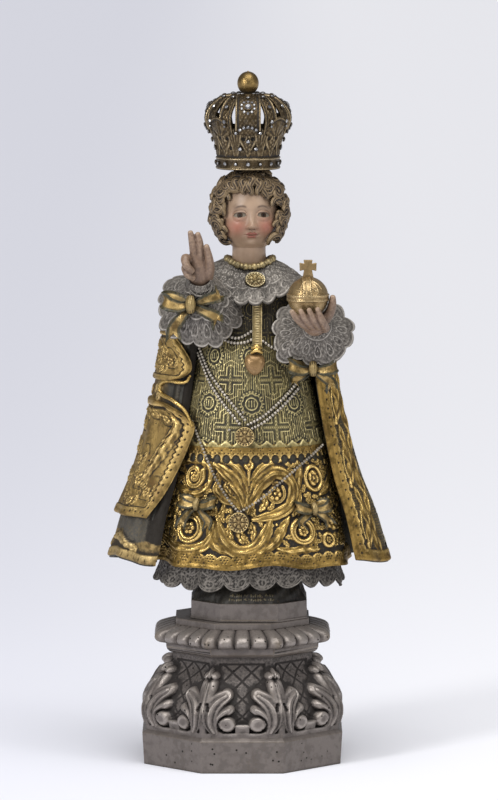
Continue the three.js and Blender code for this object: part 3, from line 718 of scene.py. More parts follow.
def skirt_carving(carving):
    """Acanthus scrolls over the lower skirt, in places seen from the front."""
    def seen(*places):
        return [laid(x, z, SKIRT_LAID) for x, z in places]

    def leaf(places, width, height, lobes):
        carving.leaf(seen(*places), width, height, lobes)

    def plume(places, widths, height, flutes, lobes=0):
        carving.plume(seen(*places), [1.2 * w for w in widths], height, flutes, lobes, 0.2)

    def band(places, width, height):
        carving.ridge(seen(*places), width, height)

    def flower(place, *sizes):
        carving.flower(seen(place)[0], *sizes)

    def ring(place, *sizes):
        carving.ring(seen(place)[0], *sizes)

    def spiral(place, *sizes):
        carving.spiral(seen(place)[0], *sizes)

    plume([(-3, 98), (-6, 112), (-13, 126), (-23, 137), (-36, 147)], [3, 6.5, 8.5, 7, 3], 4.0, 4, 3)
    plume([(0, 114), (-4, 128), (-9, 140), (-20, 149), (-33, 152)], [1.5, 3.8, 4.2, 3, 1.5], 3.2, 2)
    plume([(0, 114), (4, 128), (10, 140), (22, 149), (37, 152)], [1.5, 3.8, 4.2, 3, 1.5], 3.2, 2)
    plume([(-2, 98), (3, 113), (12, 128), (25, 138), (38, 136), (46, 124), (45, 108), (34, 97), (18, 93),
           (4, 90)], [3, 6.5, 8, 7.5, 6.5, 6, 6, 6, 5, 2], 4.0, 3, 6)
    flower((27, 117), 8.5, 6, 3.8, 0.2)
    spiral((27, 117), 11.5, 1.0, 2.4, 3.2, 0.6, -1)
    leaf([(12, 100), (17, 108), (15, 118)], 4.5, 3.2, 3)
    plume([(-9, 100), (-16, 108), (-26, 112), (-34, 121), (-31, 132)], [2, 5, 5.5, 5, 2], 3.6, 3, 3)
    leaf([(-19, 116), (-24, 124), (-20, 131)], 4.5, 3.2, 3)
    flower((0, 147), 6.5, 3, 3.8, 0.5)
    band([(0, 142), (0, 126)], [2.6, 1.4], 3.2)
    band([(-9, 141), (-4, 134), (0, 130)], 1.7, 2.8)
    band([(11, 141), (5, 134), (0, 130)], 1.7, 2.8)
    ring((67, 131), 12.4, 2.6, 4.0)
    flower((67, 131), 9.4, 4, 3.6, 0.3)
    plume([(48, 151), (53, 143), (52, 130), (50, 118)], [2, 4.5, 4.5, 2], 3.4, 2, 3)
    plume([(84, 148), (85, 134), (82, 120), (74, 113)], [2, 4.5, 4.5, 2], 3.4, 2, 3)
    spiral((-57, 134), 12.5, 1.5, 4.2, 3.8, 0.4, -1)
    flower((-57, 134), 5.5, 5, 3.8, 0)
    plume([(-72, 146), (-58, 151), (-46, 149), (-40, 140), (-42, 128)], [2.5, 4.5, 5, 5, 2], 3.6, 2, 4)
    plume([(-76, 122), (-62, 116), (-48, 119), (-40, 130)], [2.5, 5, 5.5, 2.5], 3.6, 2, 4)
    leaf([(-86, 118), (-84, 132), (-76, 146)], 6.5, 3.2, 4)
    ring((-62, 80), 13.0, 4.2, 3.8, "vein")
    flower((-62, 80), 7.5, 6, 3.6, 0)
    plume([(-92, 70), (-80, 60), (-64, 57), (-48, 62), (-39, 74), (-37, 86)], [2.5, 5.5, 6, 6, 5, 2.5],
          3.8, 3, 5)
    leaf([(-84, 98), (-89, 84), (-86, 70)], 7, 3.4, 4)
    leaf([(-78, 104), (-86, 110), (-92, 120)], 6, 3.2, 4)
    plume([(-33, 90), (-30, 76), (-24, 65), (-12, 57), (2, 58), (12, 66), (18, 77), (22, 90)],
          [2.5, 6, 7, 7, 7, 7, 6, 2.5], 3.9, 3, 4)
    plume([(-40, 88), (-41, 74), (-35, 62), (-22, 55)], [2, 4.5, 5, 2.5], 3.4, 2, 3)
    plume([(42, 92), (35, 80), (27, 67), (12, 56)], [2, 5, 5.5, 2.5], 3.6, 2, 4)
    leaf([(-10, 84), (-9, 74), (-6, 64)], 5.5, 3.8, 3)
    leaf([(2, 86), (5, 78), (3, 68)], 4, 3.2, 3)
    leaf([(-20, 86), (-21, 78), (-17, 69)], 4, 3.2, 3)
    ring((57, 77), 11.5, 3.6, 3.8, "vein")
    flower((57, 77), 6.5, 6, 3.6, 0.3)
    ring((83, 66), 6.5, 2.2, 3.4)
    flower((83, 66), 4, 5, 3.2, 0.3)
    plume([(30, 60), (44, 56), (60, 58), (74, 57)], [2, 4, 4.5, 2], 3.4, 2, 4)
    leaf([(92, 132), (95, 114), (92, 96)], 6.5, 3.2, 5)
    leaf([(78, 92), (84, 82), (94, 78)], 5.5, 3.2, 4)
    leaf([(47, 94), (52, 104), (54, 116)], 4.5, 3, 3)
    leaf([(-34, 92), (-28, 99), (-26, 108)], 4.2, 3, 3)
    for x, z in [(13, 86), (17, 85), (21, 84.5), (25, 84), (29, 84.5), (-24, 80), (-23, 74), (14, 76),
                 (11, 71)]:
        band([(x, z), (x + 0.1, z + 0.1)], 1.5, 2.6)
    dice = np.random.default_rng(7)
    for across in np.arange(-122, 122, 6.2):
        for z in np.arange(62, 150, 6.0):
            a, b = across + dice.uniform(-1.5, 1.5), z + dice.uniform(-1.5, 1.5)
            under = carving.height[carving.near([(a, b)], 3.4)]
            if not under.size or np.mean(under > 1.0) > 0.34:
                continue
            lean = dice.uniform(0, TURN)
            dx, dz = 4.6 * math.cos(lean), 4.6 * math.sin(lean)
            carving.leaf([(a - dx, b - dz), (a - 0.4 * dz, b + 0.4 * dx), (a + dx, b + dz)], 3.3, 2.7, 3)


def skirt():
    angle, rise = front_columns(1.45, 329, 30), np.linspace(0, 1, 168)[:, None]
    hem = tunic_hem(angle)
    z = mix(hem, SKIRT_TOP, rise)
    across = SKIRT_LAID * signed(angle) + 0 * z
    carving = Carving(across, z)
    skirt_carving(carving)
    check = 2.1
    ground_carving = 0.28 * np.maximum(np.cos(across * check), np.cos(z * check))
    height = np.maximum(carving.height, ground_carving)
    from_hem = z - hem
    scallop = np.abs(np.cos(math.pi * across / SCALLOP)) ** 0.7
    lower = smoothstep(12.5 + 3.4 * scallop - from_hem, 0, 0.7)
    from_bead = np.hypot(np.abs(np.mod(across, BEAD_STEP) - BEAD_STEP / 2), z - BEAD_ROW)
    hollow_round = smoothstep(5.0 - from_bead, 0, 0.8) * (z < BAND_FOOT + 3)
    upper = smoothstep(z - BAND_FOOT + 2.4, 0, 0.6)
    height = mix(height, 1.9 + 0.5 * smoothstep(3.4 - np.abs(from_hem - 1.4), 0, 2), lower)
    height = mix(height, 2.3, upper)
    height = mix(height, 0.9 * np.sqrt(clamp(1 - (from_bead / 5) ** 2)), hollow_round)
    centres = np.arange(-9, 10) * SCALLOP
    ring = [(c + 3.1 * math.cos(k), 10.5 + 3.1 * math.sin(k)) for c in centres
            for k in np.linspace(0, 5.24, 6)]
    by_hem = Carving(across, from_hem, height)
    by_hem.pits(ring + [(c, 10.5) for c in centres] + [(c + SCALLOP / 2, 5.5) for c in centres], 0.75, 1.6)
    by_band = Carving(across, z, by_hem.height)
    centres = np.arange(-11, 12) * BEAD_STEP
    spots = [(c, 161.5) for c in centres] + [(c + dx, 158.4) for c in centres for dx in (-3.4, 3.4)]
    by_band.pits(spots + [(c + dx, 164.2) for c in centres[::3] for dx in (-2.6, 0, 2.6)], 0.8, 1.6)
    height = by_band.height
    bare = smoothstep(0.9 - height, 0, 0.5) * (1 - lower) * (1 - upper)
    hatched = 0.35 + 0.65 * (np.minimum(np.cos(across * check), np.cos(z * check)) < 0.2)
    ground = np.maximum(bare * hatched, hollow_round)
    # Painted shade: the bare ground between the carving is made darker still.
    crest = clamp(crest_of(height, 3, 0.34) - 0.12 * bare)
    points = tunic_point(angle, z, height - 1.6)
    return finished(skin("tunic_skirt", points, True, crest=crest, ground=ground), gilding)


def brocade_height(across, up, tall=49.0, wide=48.6):
    """Stepped crosses and lobed frames in turn, on a hatched ground, from 0 for the ground to 1."""
    def from_centre(a0, b0):
        return [x - step * np.round(x / step) for x, step in ((across - a0, wide), (up - b0, tall))]

    left, foot = 2.2, 210
    p, q = (np.abs(x) for x in from_centre(left + wide / 2, foot - tall / 2))
    cross = np.minimum(np.maximum(p + 0.45 * q - 15.5, q - 4.3), np.maximum(q + 0.45 * p - 15.5, p - 4.3))
    c, d = from_centre(left, foot)
    r, turn = np.hypot(c, d), np.arctan2(d, c)
    lobed = r - 9.6 - 1.3 * np.abs(np.cos(4 * turn))
    hatch = 0.5 + 0.5 * np.cos(TURN * across / 2.5)
    rays = bump(lobed, 1.9, 1.3) * (0.5 + 0.5 * np.cos(22 * turn))
    bars = bump(np.abs(np.mod(c + 1.5, 3) - 1.5), 0, 0.6) * (np.abs(d) < 3.6) * (r < 5.4)
    inside = np.maximum(bump(r, 6.2, 0.7), bars)
    ribs = 0.35 + 0.65 * np.cos(TURN * (p + 0.6 * q) / 4.3) ** 2
    petals = 0.9 * bump(np.minimum(p, q), 0, 2.1) * (cross < -0.9) * ribs
    filled = np.where(lobed < 0, inside, 0.85 * hatch**1.3 * (cross > 0) * (lobed > 4))
    return np.maximum.reduce([bump(cross, 0, 0.62), bump(cross, 5.0, 0.55), bump(lobed, 0, 0.6), rays,
                              filled, petals])


def bodice():
    angle, z = front_columns(1.3, 208, 14), np.linspace(SKIRT_TOP - 3, 325, 180)[:, None]
    across = BODICE_LAID * signed(angle) + 0 * z
    relief = brocade_height(across, z) * smoothstep(z, 166, 169)
    point = 172.5 - 5.5 * np.abs(np.mod(across / 13 + 0.3, 1) - 0.5) * 2
    teeth = smoothstep(point - z, 0, 0.6)
    height = mix(1.1 * relief, 1.5, teeth)
    ground = clamp(1.15 - 1.5 * relief) * (1 - teeth)
    # Painted shadow: the crests are lowered towards the top of the bodice, where the collar and the arms shade
    # it.
    crest = clamp(crest_of(height, 2, 0.55) - 0.4 * smoothstep(z, 262, 292))
    points = tunic_point(angle, z, height - 0.4)
    return finished(skin("tunic_body", points, True, crest=crest, ground=ground), brocade)


# Lace: relief by the way along an edge and the way in from it
def lace_relief(along, inward, pitch):
    """Needle lace: a scalloped rim, a rosette in every scallop, and small ones on a net inside."""
    lobe, rise = (np.mod(along / pitch, 1) - 0.5) * pitch, inward - 0.52 * pitch
    r, turn = np.hypot(lobe, rise), np.arctan2(rise, lobe)
    rims = [bump(inward, 0.8, 0.7), 0.7 * bump(inward, 3.1, 0.6)]
    rosette = 0.85 * bump(r, 0.25 * pitch, 0.8) + 0.9 * bump(r, 0, 1.0)
    rays = 0.7 * bump(r, 0.39 * pitch, 0.09 * pitch) * (0.5 + 0.5 * np.cos(9 * turn))
    inner = inward - 1.08 * pitch
    step = 0.72 * pitch
    row = np.floor(inner / step)
    a = (np.mod(along / step + 0.5 * np.mod(row, 2), 1) - 0.5) * step
    b = (np.mod(inner / step, 1) - 0.5) * step
    q, way = np.hypot(a, b), np.arctan2(b, a)
    sprigs = 0.9 * bump(q, 0.3 * step, 0.11 * step) * (0.35 + 0.65 * np.abs(np.cos(2.5 * way + row)))
    sprigs = sprigs + 0.8 * bump(q, 0, 0.8)
    net = 0.5 * np.maximum(np.cos((along + inward) * 1.9), np.cos((along - inward) * 1.9)) ** 3
    inside = smoothstep(inner, 0.4, 1.2)
    parts = [*rims, (1 - inside) * np.maximum(rosette, rays), 0.8 * bump(inner, 0, 0.8), inside * sprigs,
             net * (inward > 1.8)]
    return np.maximum.reduce(np.broadcast_arrays(*parts))


def lace_piece(name, middle, out, relief, thick, painted_shade=0.0):
    """A sheet of lace with its threads raised, and the holes between them painted dark. Its crests can be
    lowered all over, as painted shade.
    """
    crest = clamp(crest_of(relief, 3, 0.5, True) - painted_shade)
    holes = 0.42 * smoothstep(0.3 - relief, 0, 0.25)
    raised, back = thick
    sheet = shell(name, middle + out * (relief[..., None] * raised), middle - out * back, True,
                  crest=crest, ground=holes)
    return finished(sheet, lace)


def rounded_lobes(angle, count, sharp=0.55):
    return np.abs(np.sin(count * angle / 2)) ** sharp


def collar_drop(angle, rise):
    """The collar's height, from its hem, which dips at the shoulders, up to the neck."""
    side = np.sin(angle) ** 2
    hem = 318.5 + 12 * smoothstep(side, 0.02, 0.28) - 28 * smoothstep(side, 0.32, 1)
    return mix(hem, 358, 1 - (1 - rise) ** 1.6)


COLLAR_REACH = (82, 51)


def collar():
    scallops, pitch = 34, 12.5
    angle, rise = ring_grid(56, 520)
    fuller = 0.42 * smoothstep(np.sin(angle) ** 2, 0.3, 1) + 0.32 * smoothstep(-np.cos(angle), 0.2, 0.9)
    reach = mix(1, 0.2, rise ** (0.8 + fuller))
    lobe = (1 - rise) ** 3 * rounded_lobes(angle, scallops)
    fold = (1 - rise) ** 1.5 * (1.6 * np.sin(9 * angle + 1) + 1.1 * np.sin(14 * angle))
    wide, deep = (size * reach + 3 * lobe + fold for size in COLLAR_REACH)
    middle = on(wide * np.sin(angle) - 1, -deep * np.cos(angle), collar_drop(angle, rise) - 5 * lobe)
    relief = lace_relief(angle / TURN * scallops * pitch + pitch / 2, rise * 62, pitch)
    return lace_piece("collar", middle, normals_of(middle, True), relief, (1.1, 1.2))


def cuff(name, centre, wrist, rim, scallops, phase):
    """A lace cuff that flares from the wrist to a scalloped rim."""
    centre, wrist = np.array(centre, float), np.array(wrist, float)
    along = wrist - centre
    axis = unit(along)
    side = unit(np.array([1.0, 0, 0]) - axis * axis[0])
    up = np.cross(axis, side)
    angle, rise = ring_grid(round(30 + rim / 2), round(9 * rim))
    lobe = rounded_lobes(angle + phase, scallops) * (1 - rise) ** 2
    ripple = 1 + (0.05 * np.sin(5 * angle + phase) + 0.025 * np.sin(9 * angle + 2)) * (1 - rise)
    reach = mix(rim, min(11.5, 0.8 * rim), 1 - (1 - rise) ** 1.4) * ripple + lobe * min(4.2, 0.14 * rim)
    place = (centre + (rise - lobe * 0.1)[..., None] * along + (reach * np.sin(angle))[..., None] * side
             + (reach * np.cos(angle))[..., None] * up)
    relief = lace_relief(angle * rim + (phase + math.pi / scallops) * rim, rise * (rim - 9),
                         TURN * rim / scallops)
    middle = on(*np.moveaxis(place, -1, 0))
    out = -normals_of(middle, True)
    if np.mean(np.sum(out * (middle - middle.mean((0, 1))), -1)) < 0:
        out = -out
    return facing_out(lace_piece(name, middle, out, relief, (1.2, 1.3)))


CUFFS = [
    ("right_cuff", (-50, -40, 310), (-50, -76, 335), 42.5, 17, 0.0),
    ("right_cuff_inner", (-50, -56, 322), (-50, -73, 338), 27, 13, 0.3),
    ("right_frill", (-51, -66, 334), (-51, -72, 342), 15, 11, 0.1),
    ("left_cuff", (72, -58, 285), (70, -87, 296), 33, 12, 0.0),
    ("left_cuff_under", (64, -46, 281), (68, -76, 291), 37, 14, 0.25),
]


def petticoat():
    scallops = 22
    angle, rise = ring_grid(30, 640)
    low = 24 - 9 * rounded_lobes(angle, scallops, 0.6) + 2 * np.sin(3 * angle)
    pleats = 0.028 * np.sin(11 * angle + 0.6) + 0.012 * np.sin(scallops * angle)
    flare = mix(1, 0.93, rise) + pleats * (1 - rise)
    z = mix(low, 46, rise)
    middle = on(1 + 98 * flare * np.sin(angle), -70 * flare * np.cos(angle), z)
    relief = lace_relief(angle / TURN * scallops * 24 + 12, z - low, 15)
    # The petticoat's lace is lowered in crest all over: painted shade under the skirt's hem.
    return lace_piece("petticoat", middle, normals_of(middle, True), relief, (1.2, 2.0), 0.14)


# Mantle: half width by height
mantle_shape = through((40, 147), (89, 133), (129, 117), (174, 104), (215, 95), (267, 85), (297, 79),
                       (327, 62), (342, 44))
MANTLE_TOP, MANTLE_HEM = 342, 42
MANTLE_LAID = 118


def mantle_point(angle, z, out=0.0):
    """The angle runs from the front by the figure's right side and all the way round."""
    wide = mantle_shape(z)
    behind = smoothstep(-np.cos(angle), -0.2, 0.6)
    low = clamp((300 - z) / 260)
    fold = low * (0.035 * wide * behind * np.sin(9 * angle) + 1.5 * np.sin(17 * angle))
    back = mix(mix(0.58, 0.645, smoothstep(z, 50, 150)), 0.69, smoothstep(z, 280, 325))
    deep = mix(0.5, back, behind) * wide
    return on(1 - (wide + fold + out) * np.sin(angle), -(deep + fold + out) * np.cos(angle), z)


def mantle_hem(angle):
    return MANTLE_HEM + 3 * np.sin(6 * angle)


def mantle_back():
    angle, rise = arc_grid(180, 215, 108, 276)
    hem = mantle_hem(angle)
    z = mix(hem, MANTLE_TOP, rise)
    across = (angle - math.pi) * MANTLE_LAID + 0 * z
    relief = brocade_height(across * 0.8, (z - 30) * 0.8 + 185.5)
    from_hem = z - hem
    border = smoothstep(17 + 2.5 * np.abs(np.cos(math.pi * across / 17)) - from_hem, 0, 1.2)
    carving = Carving(across, from_hem, mix(relief * 1.1, 1.5, border))
    carving.pits([(8.5 * k, 9) for k in range(-24, 25)], 1.3, 1.6)
    ground = clamp(1.1 - 1.4 * relief) * (1 - border) * 0.85
    crest = crest_of(carving.height, 2, 0.5)
    points = mantle_point(angle, z, carving.height + 0.3)
    return finished(skin("mantle_back", points, flip=True, crest=crest, ground=ground), brocade)


def mantle_lining():
    angle, rise = arc_grid(50, 150, 44, 308)
    z = mix(mantle_hem(angle) - 0.5, MANTLE_TOP, rise)
    outer, inner = (mantle_point(angle, z, out) for out in (-0.6, -5.0))
    return finished(shell("mantle_lining", outer, inner, crest=0.5), lining)


def left_front():
    """The mantle's front at the figure's left: a pierced border and upright leaves on a ribbed ground."""
    edge_at = 309.5
    angle, rise = arc_grid(300, 110, 270, edge_at)
    hem = mantle_hem(angle)
    z = mix(hem, MANTLE_TOP - 15, rise)
    inward = (math.radians(edge_at) - angle) * mantle_shape(z) * 0.72
    carving = Carving(inward, z, 0.5 * (0.5 + 0.5 * np.cos(TURN * z / 2.8)))
    for foot, tip, shift in [(58, 122, 22), (122, 186, 21), (188, 250, 20), (252, 300, 19)]:
        carving.leaf([(shift - 5, foot), (shift + 4, mix(foot, tip, 0.35)), (shift - 2, tip)], 8, 3.2, 3)
        carving.leaf([(shift + 17, foot - 12), (shift + 11, mix(foot, tip, 0.4)), (shift + 16, tip - 8)],
                     7, 2.8, 3)
        carving.ridge([(14, foot + 8), (12.5, foot + 22), (16, foot + 36)], [0.8, 1.6, 0.8], 2.2)
    from_hem = z - hem
    edge = 9.4 + 1.7 * np.abs(np.cos(math.pi * z / 9.4)) ** 0.7
    flat = np.maximum(smoothstep(edge - inward, 0, 0.7), smoothstep(13 - from_hem, 0, 0.8))
    carving.height = mix(carving.height, 2.6, flat)
    carving.pits([(5.2, 9.4 * k + 4.7) for k in range(4, 34)], 0.95, 1.8)
    height = carving.height
    points = mantle_point(angle, z, height - 4.5 * (1 - rolled(np.minimum(inward, from_hem), 3.2)))
    ground = clamp(1 - height / 1.2) * (1 - flat)
    piece = skin("mantle_left_front", points, flip=True, crest=crest_of(height, 3, 0.4), ground=ground)
    return finished(piece, gilding)


def right_under():
    """The mantle's front at the figure's right: lining under the flaps, gilt along the lower hem."""
    edge_at = 43
    angle, rise = arc_grid(190, 150, edge_at, 112)
    hem = mantle_hem(angle)
    z = mix(hem, MANTLE_TOP, rise)
    from_hem = z - hem
    across = (angle - math.radians(edge_at)) * MANTLE_LAID + 0 * z
    top_edge = 22 + 16 * smoothstep(across, 40, 120) + 3 * np.sin(across * 0.12)
    gilt = smoothstep(top_edge - from_hem, 0, 1.2)
    carving = Carving(across, from_hem)
    carving.leaf([(30, 13), (60, 20), (95, 22)], 6, 2.6, 6)
    carving.leaf([(100, 14), (116, 24), (128, 30)], 6, 2.6, 5)
    carving.height = mix(0, mix(carving.height, 2.2, smoothstep(11 - from_hem, 0, 1)), gilt)
    carving.pits([(9.6 * k, 5.5) for k in range(0, 16)], 1.0, 1.6)
    degrees = np.degrees(angle)
    side = smoothstep(degrees, 63, 66) * smoothstep(z, 190, 200) * smoothstep(z, 244, 234)
    engraved = Carving(across, z)
    for a, b, size in ((52, 214, 6), (66, 222, 5), (80, 210, 6), (95, 220, 6), (60, 202, 5), (90, 202, 5)):
        engraved.flower((a, b), size, 5, 1.6, a)
    lifted = side * 7.4 * np.cos(math.pi / 2 * clamp((degrees - 60) / 58) ** 2)
    height = mix(carving.height, engraved.height, side)
    gilt = np.maximum(gilt, side)
    roll = rolled(np.minimum(across, from_hem), 3.5)
    pleat = 1.2 * np.sin(across * 0.35) * (1 - gilt) * smoothstep(z, 60, 110)
    points = mantle_point(angle, z, height + pleat + lifted - 5 * (1 - roll))
    # Painted shade: the lining is darker along its front edge, where it lies under the rolled rim and the
    # flaps.
    crest = clamp(crest_of(height, 3, 0.4) - 0.45 * smoothstep(24 - across, 0, 14) * (1 - gilt))
    piece = skin("mantle_right_front", points, flip=True, crest=crest, ground=1 - gilt)
    return finished(piece, lining_and_gilt)


def mantle_rim():
    """The rolled edge that winds from the upper flap round a pocket of lining to the lower flap."""
    seen = smooth_line([(-61.5, 238), (-66, 231.5), (-74, 230.6), (-82, 231.5), (-90, 229), (-93, 222.5),
                        (-90.5, 216), (-80, 212), (-70.6, 205.4), (-64.4, 197), (-59.7, 186.5)], 6)
    share = np.linspace(0, 1, len(seen))
    out = np.interp(share, [0, 0.35, 0.55, 0.75, 1], [10.5, 8.5, 7.6, 9.5, 11.5])
    x, z = seen[:, 0], seen[:, 1]
    angle = np.arcsin(clamp((1 - x) / (mantle_shape(z) + out), 0, 0.995))
    path = mantle_point(angle, z, out)
    width = 2.4 * np.sin(math.pi * clamp(share * 0.9 + 0.05)) ** 0.4
    return finished(marked_for_shade_and_wear(tube("mantle_rim", path, width, 14), 0.9, 2), gilding)


UPPER_EDGE = through((231, 57), (236, 44), (246, 38), (262, 44), (284, 62))
LOWER_EDGE = through((88, 50), (108, 44.5), (140, 38.6), (165, 34.3), (186, 32), (196, 38), (206, 54),
                     (213, 80))


def flap(name, top, foot, edge, lift, carve, rows, cols):
    """A turned-back front of the mantle, with a rolled edge and a gilt border."""
    down, share = np.linspace(0, 1, rows)[:, None], np.linspace(0, 1, cols)[None]
    across = share**1.15
    z = mix(foot, top, down) + 0 * across
    free = np.radians(edge(z[:, :1]))
    angle = mix(free, math.radians(118), across)
    out = 8 * np.cos(math.pi / 2 * across**2) + lift * (1 - across)
    from_edge = (angle - free) * mantle_shape(z) * 0.85
    inward = np.minimum(from_edge, np.minimum(z - foot, top - z))
    carving = Carving(from_edge, z)
    carve(carving, inward)
    height = carving.height
    points = mantle_point(angle, z, out + height - 4.5 * (1 - rolled(inward, 4.0)))
    inner = mantle_point(angle, z, out - 7.5 * smoothstep(inward, -1, 8) - 2)
    crest = crest_of(height, 3, 0.42)
    ground = clamp(1 - height / 0.9) * carving.engraved
    points, inner, crest, ground = (grid[:, ::-1] for grid in (points, inner, crest, ground))
    return facing_out(finished(shell(name, points, inner, crest=crest, ground=ground), flap_gilding))


def flower_field(carving, places, inward, border):
    """Small flowers and curling stems in low relief, inside a wavy border with a groove along it."""
    carving.height[...] = 0.9
    for a, b, size, turn in places:
        def by(*steps):
            return [(a + across * size, b + up * size) for across, up in steps]

        carving.flower((a, b), size, 5, 2.6, turn)
        carving.spiral(*by((1.5, 1)), size * 0.8, 1.2, 1.2, 2.4, turn, 1)
        carving.leaf(by((-1, -1), (-1.7, 0), (-1.4, 1.4)), size * 0.6, 2.5, 4)
        carving.cut(by((-1, -1.5), (1, -1.3), (2, -0.2)), 0.6, 0.8)
        carving.cut(by((1, 1), (2.2, 2.4), (1.2, 3.4)), 0.7, 0.9)
        carving.cut(by((-2.2, 1), (-1.5, 2.6), (-0.2, 2.8)), 0.7, 0.9)
    wave = border + 1.0 * np.sin(carving.up * 1.1)
    carving.height = np.where(inward < wave, 1.9, carving.height) - 1.1 * bump(inward, wave + 0.6, 0.7)
    carving.engraved = smoothstep(inward, border, border + 2) * 0.6


def upper_flap_carving(carving, inward):
    places = [(22, 252, 5, 0.2), (36, 244, 4.5, 1.2), (30, 264, 4, 0.7), (46, 254, 4.5, 0.1),
              (58, 246, 4.5, 0.9), (52, 268, 4, 0.4), (72, 256, 5, 0.5)]
    flower_field(carving, places, inward, 6.5)
    carving.pits(np.random.default_rng(3).uniform((8, 236), (80, 280), (90, 2)), 0.6, 0.8)


def lower_flap_carving(carving, inward):
    places = [(26, 192, 5, 0.2), (44, 198, 5, 1.2), (64, 196, 5, 0.4), (22, 116, 6, 0.2), (42, 128, 7, 0.9),
              (60, 112, 6, 0.4), (40, 106, 5, 0.1), (76, 128, 6, 0.3), (56, 148, 6, 0.8), (80, 160, 6, 0.2),
              (78, 184, 5, 0.6)]
    flower_field(carving, places, inward, 9.5)
    carving.plume([(14, 195), (18, 177), (25, 156), (34, 131)], [2.5, 7.5, 9.5, 5], 6.0, 2, 6, 0.2)
    for k in range(11):
        foot = 174 - 4 * k
        carving.cut([(21 + 1.1 * k, foot + 2), (27 + 1.2 * k, foot - 3)], 0.5, 1.3)
    carving.pits([(4.8, 92 + 8 * k) for k in range(0, 15)] + [(12 + 8.5 * k, 95) for k in range(0, 11)],
                 1.0, 1.7)
    carving.pits(np.random.default_rng(4).uniform((14, 184), (80, 205), (70, 2)), 0.6, 0.8)


# Pedestal
OCTAGON = math.tan(math.pi / 8)
PLINTH = {"flats": 210, "foot": 206, "height": 33.5, "top": 37.5}
DRUM = {"height": 76, "belly": 190}
FRIEZE = {"flats": 152, "lip": 160, "foot": 117, "top": 127}
GADROONS = {"flats": 182, "foot": 126.5, "height": 19.5, "lobes": 32}
LEDGE = {"flats": 140, "foot": 145.4, "top": 152.5}
BLOCK = {"half": 61.5, "face": 30.5}
LATTICE = {"wide": 9.8, "tall": 8.6, "from": 72.5}
drum_shape = through((0, 92), (0.3, 95), (0.62, 83.5), (0.86, 72), (1, 73.2))
PLINTH_HOLES = [(-31, 26), (-29, 21), (-6, 25), (4, 22), (32, 14), (36, 23), (-33, 10), (-31, 9.6), (38, 13)]
wormholes = []


def octagon(angle):
    """From the angle to how far it is from the middle of its face."""
    return angle - np.round(angle / (math.pi / 4)) * math.pi / 4


def turned(angle, reach, z):
    return stacked(reach * np.sin(angle), -reach * np.cos(angle), z)


def bored(points, count, rows):
    """Picks places for wormholes on a carved surface, between two of its rows."""
    out = normals_of(points, True)
    for _ in range(count):
        spot = chance.integers(*rows), chance.integers(points.shape[1])
        wormholes.append((points[spot], out[spot], chance.uniform(0.65, 1.1)))


def foliage(carving, corner):
    """Half a face of the drum: a stem at the corner, two leaves that lean in, a disc and two knobs."""
    across, up = carving.across, carving.up
    foot = 4.8 + 2 * clamp(1 - up / 16) ** 2
    strip = 8.2 * smoothstep(across, corner - foot, corner - foot + 1.2) * smoothstep(80 - up, 0, 30)
    carving.raise_to(strip, strip > 0.2)
    rim = [(20, 4), (28, 6), (33, 15), (34, 30), (31.5, 43), (28, 55)]
    carving.ridge(rim, [3, 5, 8, 9.5, 7, 4.5], 8.4)
    carving.ridge([(side + 3.4, high) for side, high in rim[1:]], [1.0, 1.4, 1.6, 1.6, 1.0], 9.8)
    carving.plume([(27, 5), (31, 15), (30, 27), (24.5, 36), (15, 43)], [5, 8, 9.6, 9.2, 6.6], 11.6, 3,
                  cut=0.12)
    carving.plume([(24, 12), (22.5, 20), (18.5, 25.5), (12.5, 29)], [4, 6, 6.2, 4.8], 11.0, 2, cut=0.1)
    carving.raise_to(8.6, up < 4.6)
    carving.raise_to(7.4, (up < 13) & (across < 7))
    away = np.hypot(across - 14.6, up - 13.6) / 8.2
    carving.height -= 6 * bump(away, 1.1, 0.09) * smoothstep(across * 0.8 + up, 18, 26) * (away > 1)
    hook = bump(np.hypot(across - 15.2, up - 8.2), 4.2, 0.55) * (up < 9.5) * (across > 13)
    carving.raise_to(10.2 * clamp(1 - away**12) ** 0.5 - 2.2 * hook, away < 1)
    carving.pits([(33.5, 31), (33.9, 34), (33.2, 28.5)], 1.5, 4)
    for side, high, size, out in ((corner - 4.6, 64.5, 7.2, 15.5), (corner - 13, 61.5, 4.2, 9.5)):
        away = np.hypot(across - side, up - high) / size
        carving.raise_to(out * clamp(1 - away**2) ** 0.4, away < 1)


def drum():
    angle, rise = ring_grid(108, 8 * 88, -0.02, 1.06)
    fold = octagon(angle)
    half = drum_shape(clamp(rise))
    high = rise * DRUM["height"] + 0 * fold
    side = np.abs(np.tan(fold) * half)
    level = (high - LATTICE["from"]) / LATTICE["tall"]
    lines = [np.abs(np.mod(side / LATTICE["wide"] + way * level + 1, 2) - 1) for way in (-1, 1)]
    panel, top = side < 23.5, LATTICE["from"]
    lattice = bump(np.minimum(*lines) * 6.2, 0, 0.62) * smoothstep(top - high, 0, 1) * panel
    frame = bump(high, top, 0.7) * panel + bump(side, 23.2, 0.6) * (high < 73) * (high > 60)
    lattice = np.maximum(lattice, frame)
    leaves = Carving(side, high, UNDER)
    foliage(leaves, DRUM["belly"] / 2 * OCTAGON)
    bare = leaves.height < 0.2
    height = np.maximum(-1.2 * lattice, leaves.height)
    points = turned(angle, (half + height) / np.cos(fold), PLINTH["top"] + high)
    bored(points, 130, (10, 90))
    # Painted shade: the crests are lowered a little everywhere, more on the ground behind the leaves and most
    # in the lattice grooves.
    crest = clamp(crest_of(height, 4, 0.2, True) - 0.08 - 0.1 * (leaves.height < -1) - 0.42 * lattice * bare)
    return finished(skin("pedestal_drum", points, True, crest=crest), silvered, "pedestal")


gadroon_swell = through((0, 0.86), (0.1, 0.95), (0.28, 0.995), (0.5, 0.995), (0.72, 0.95), (0.9, 0.85),
                        (1, 0.77))


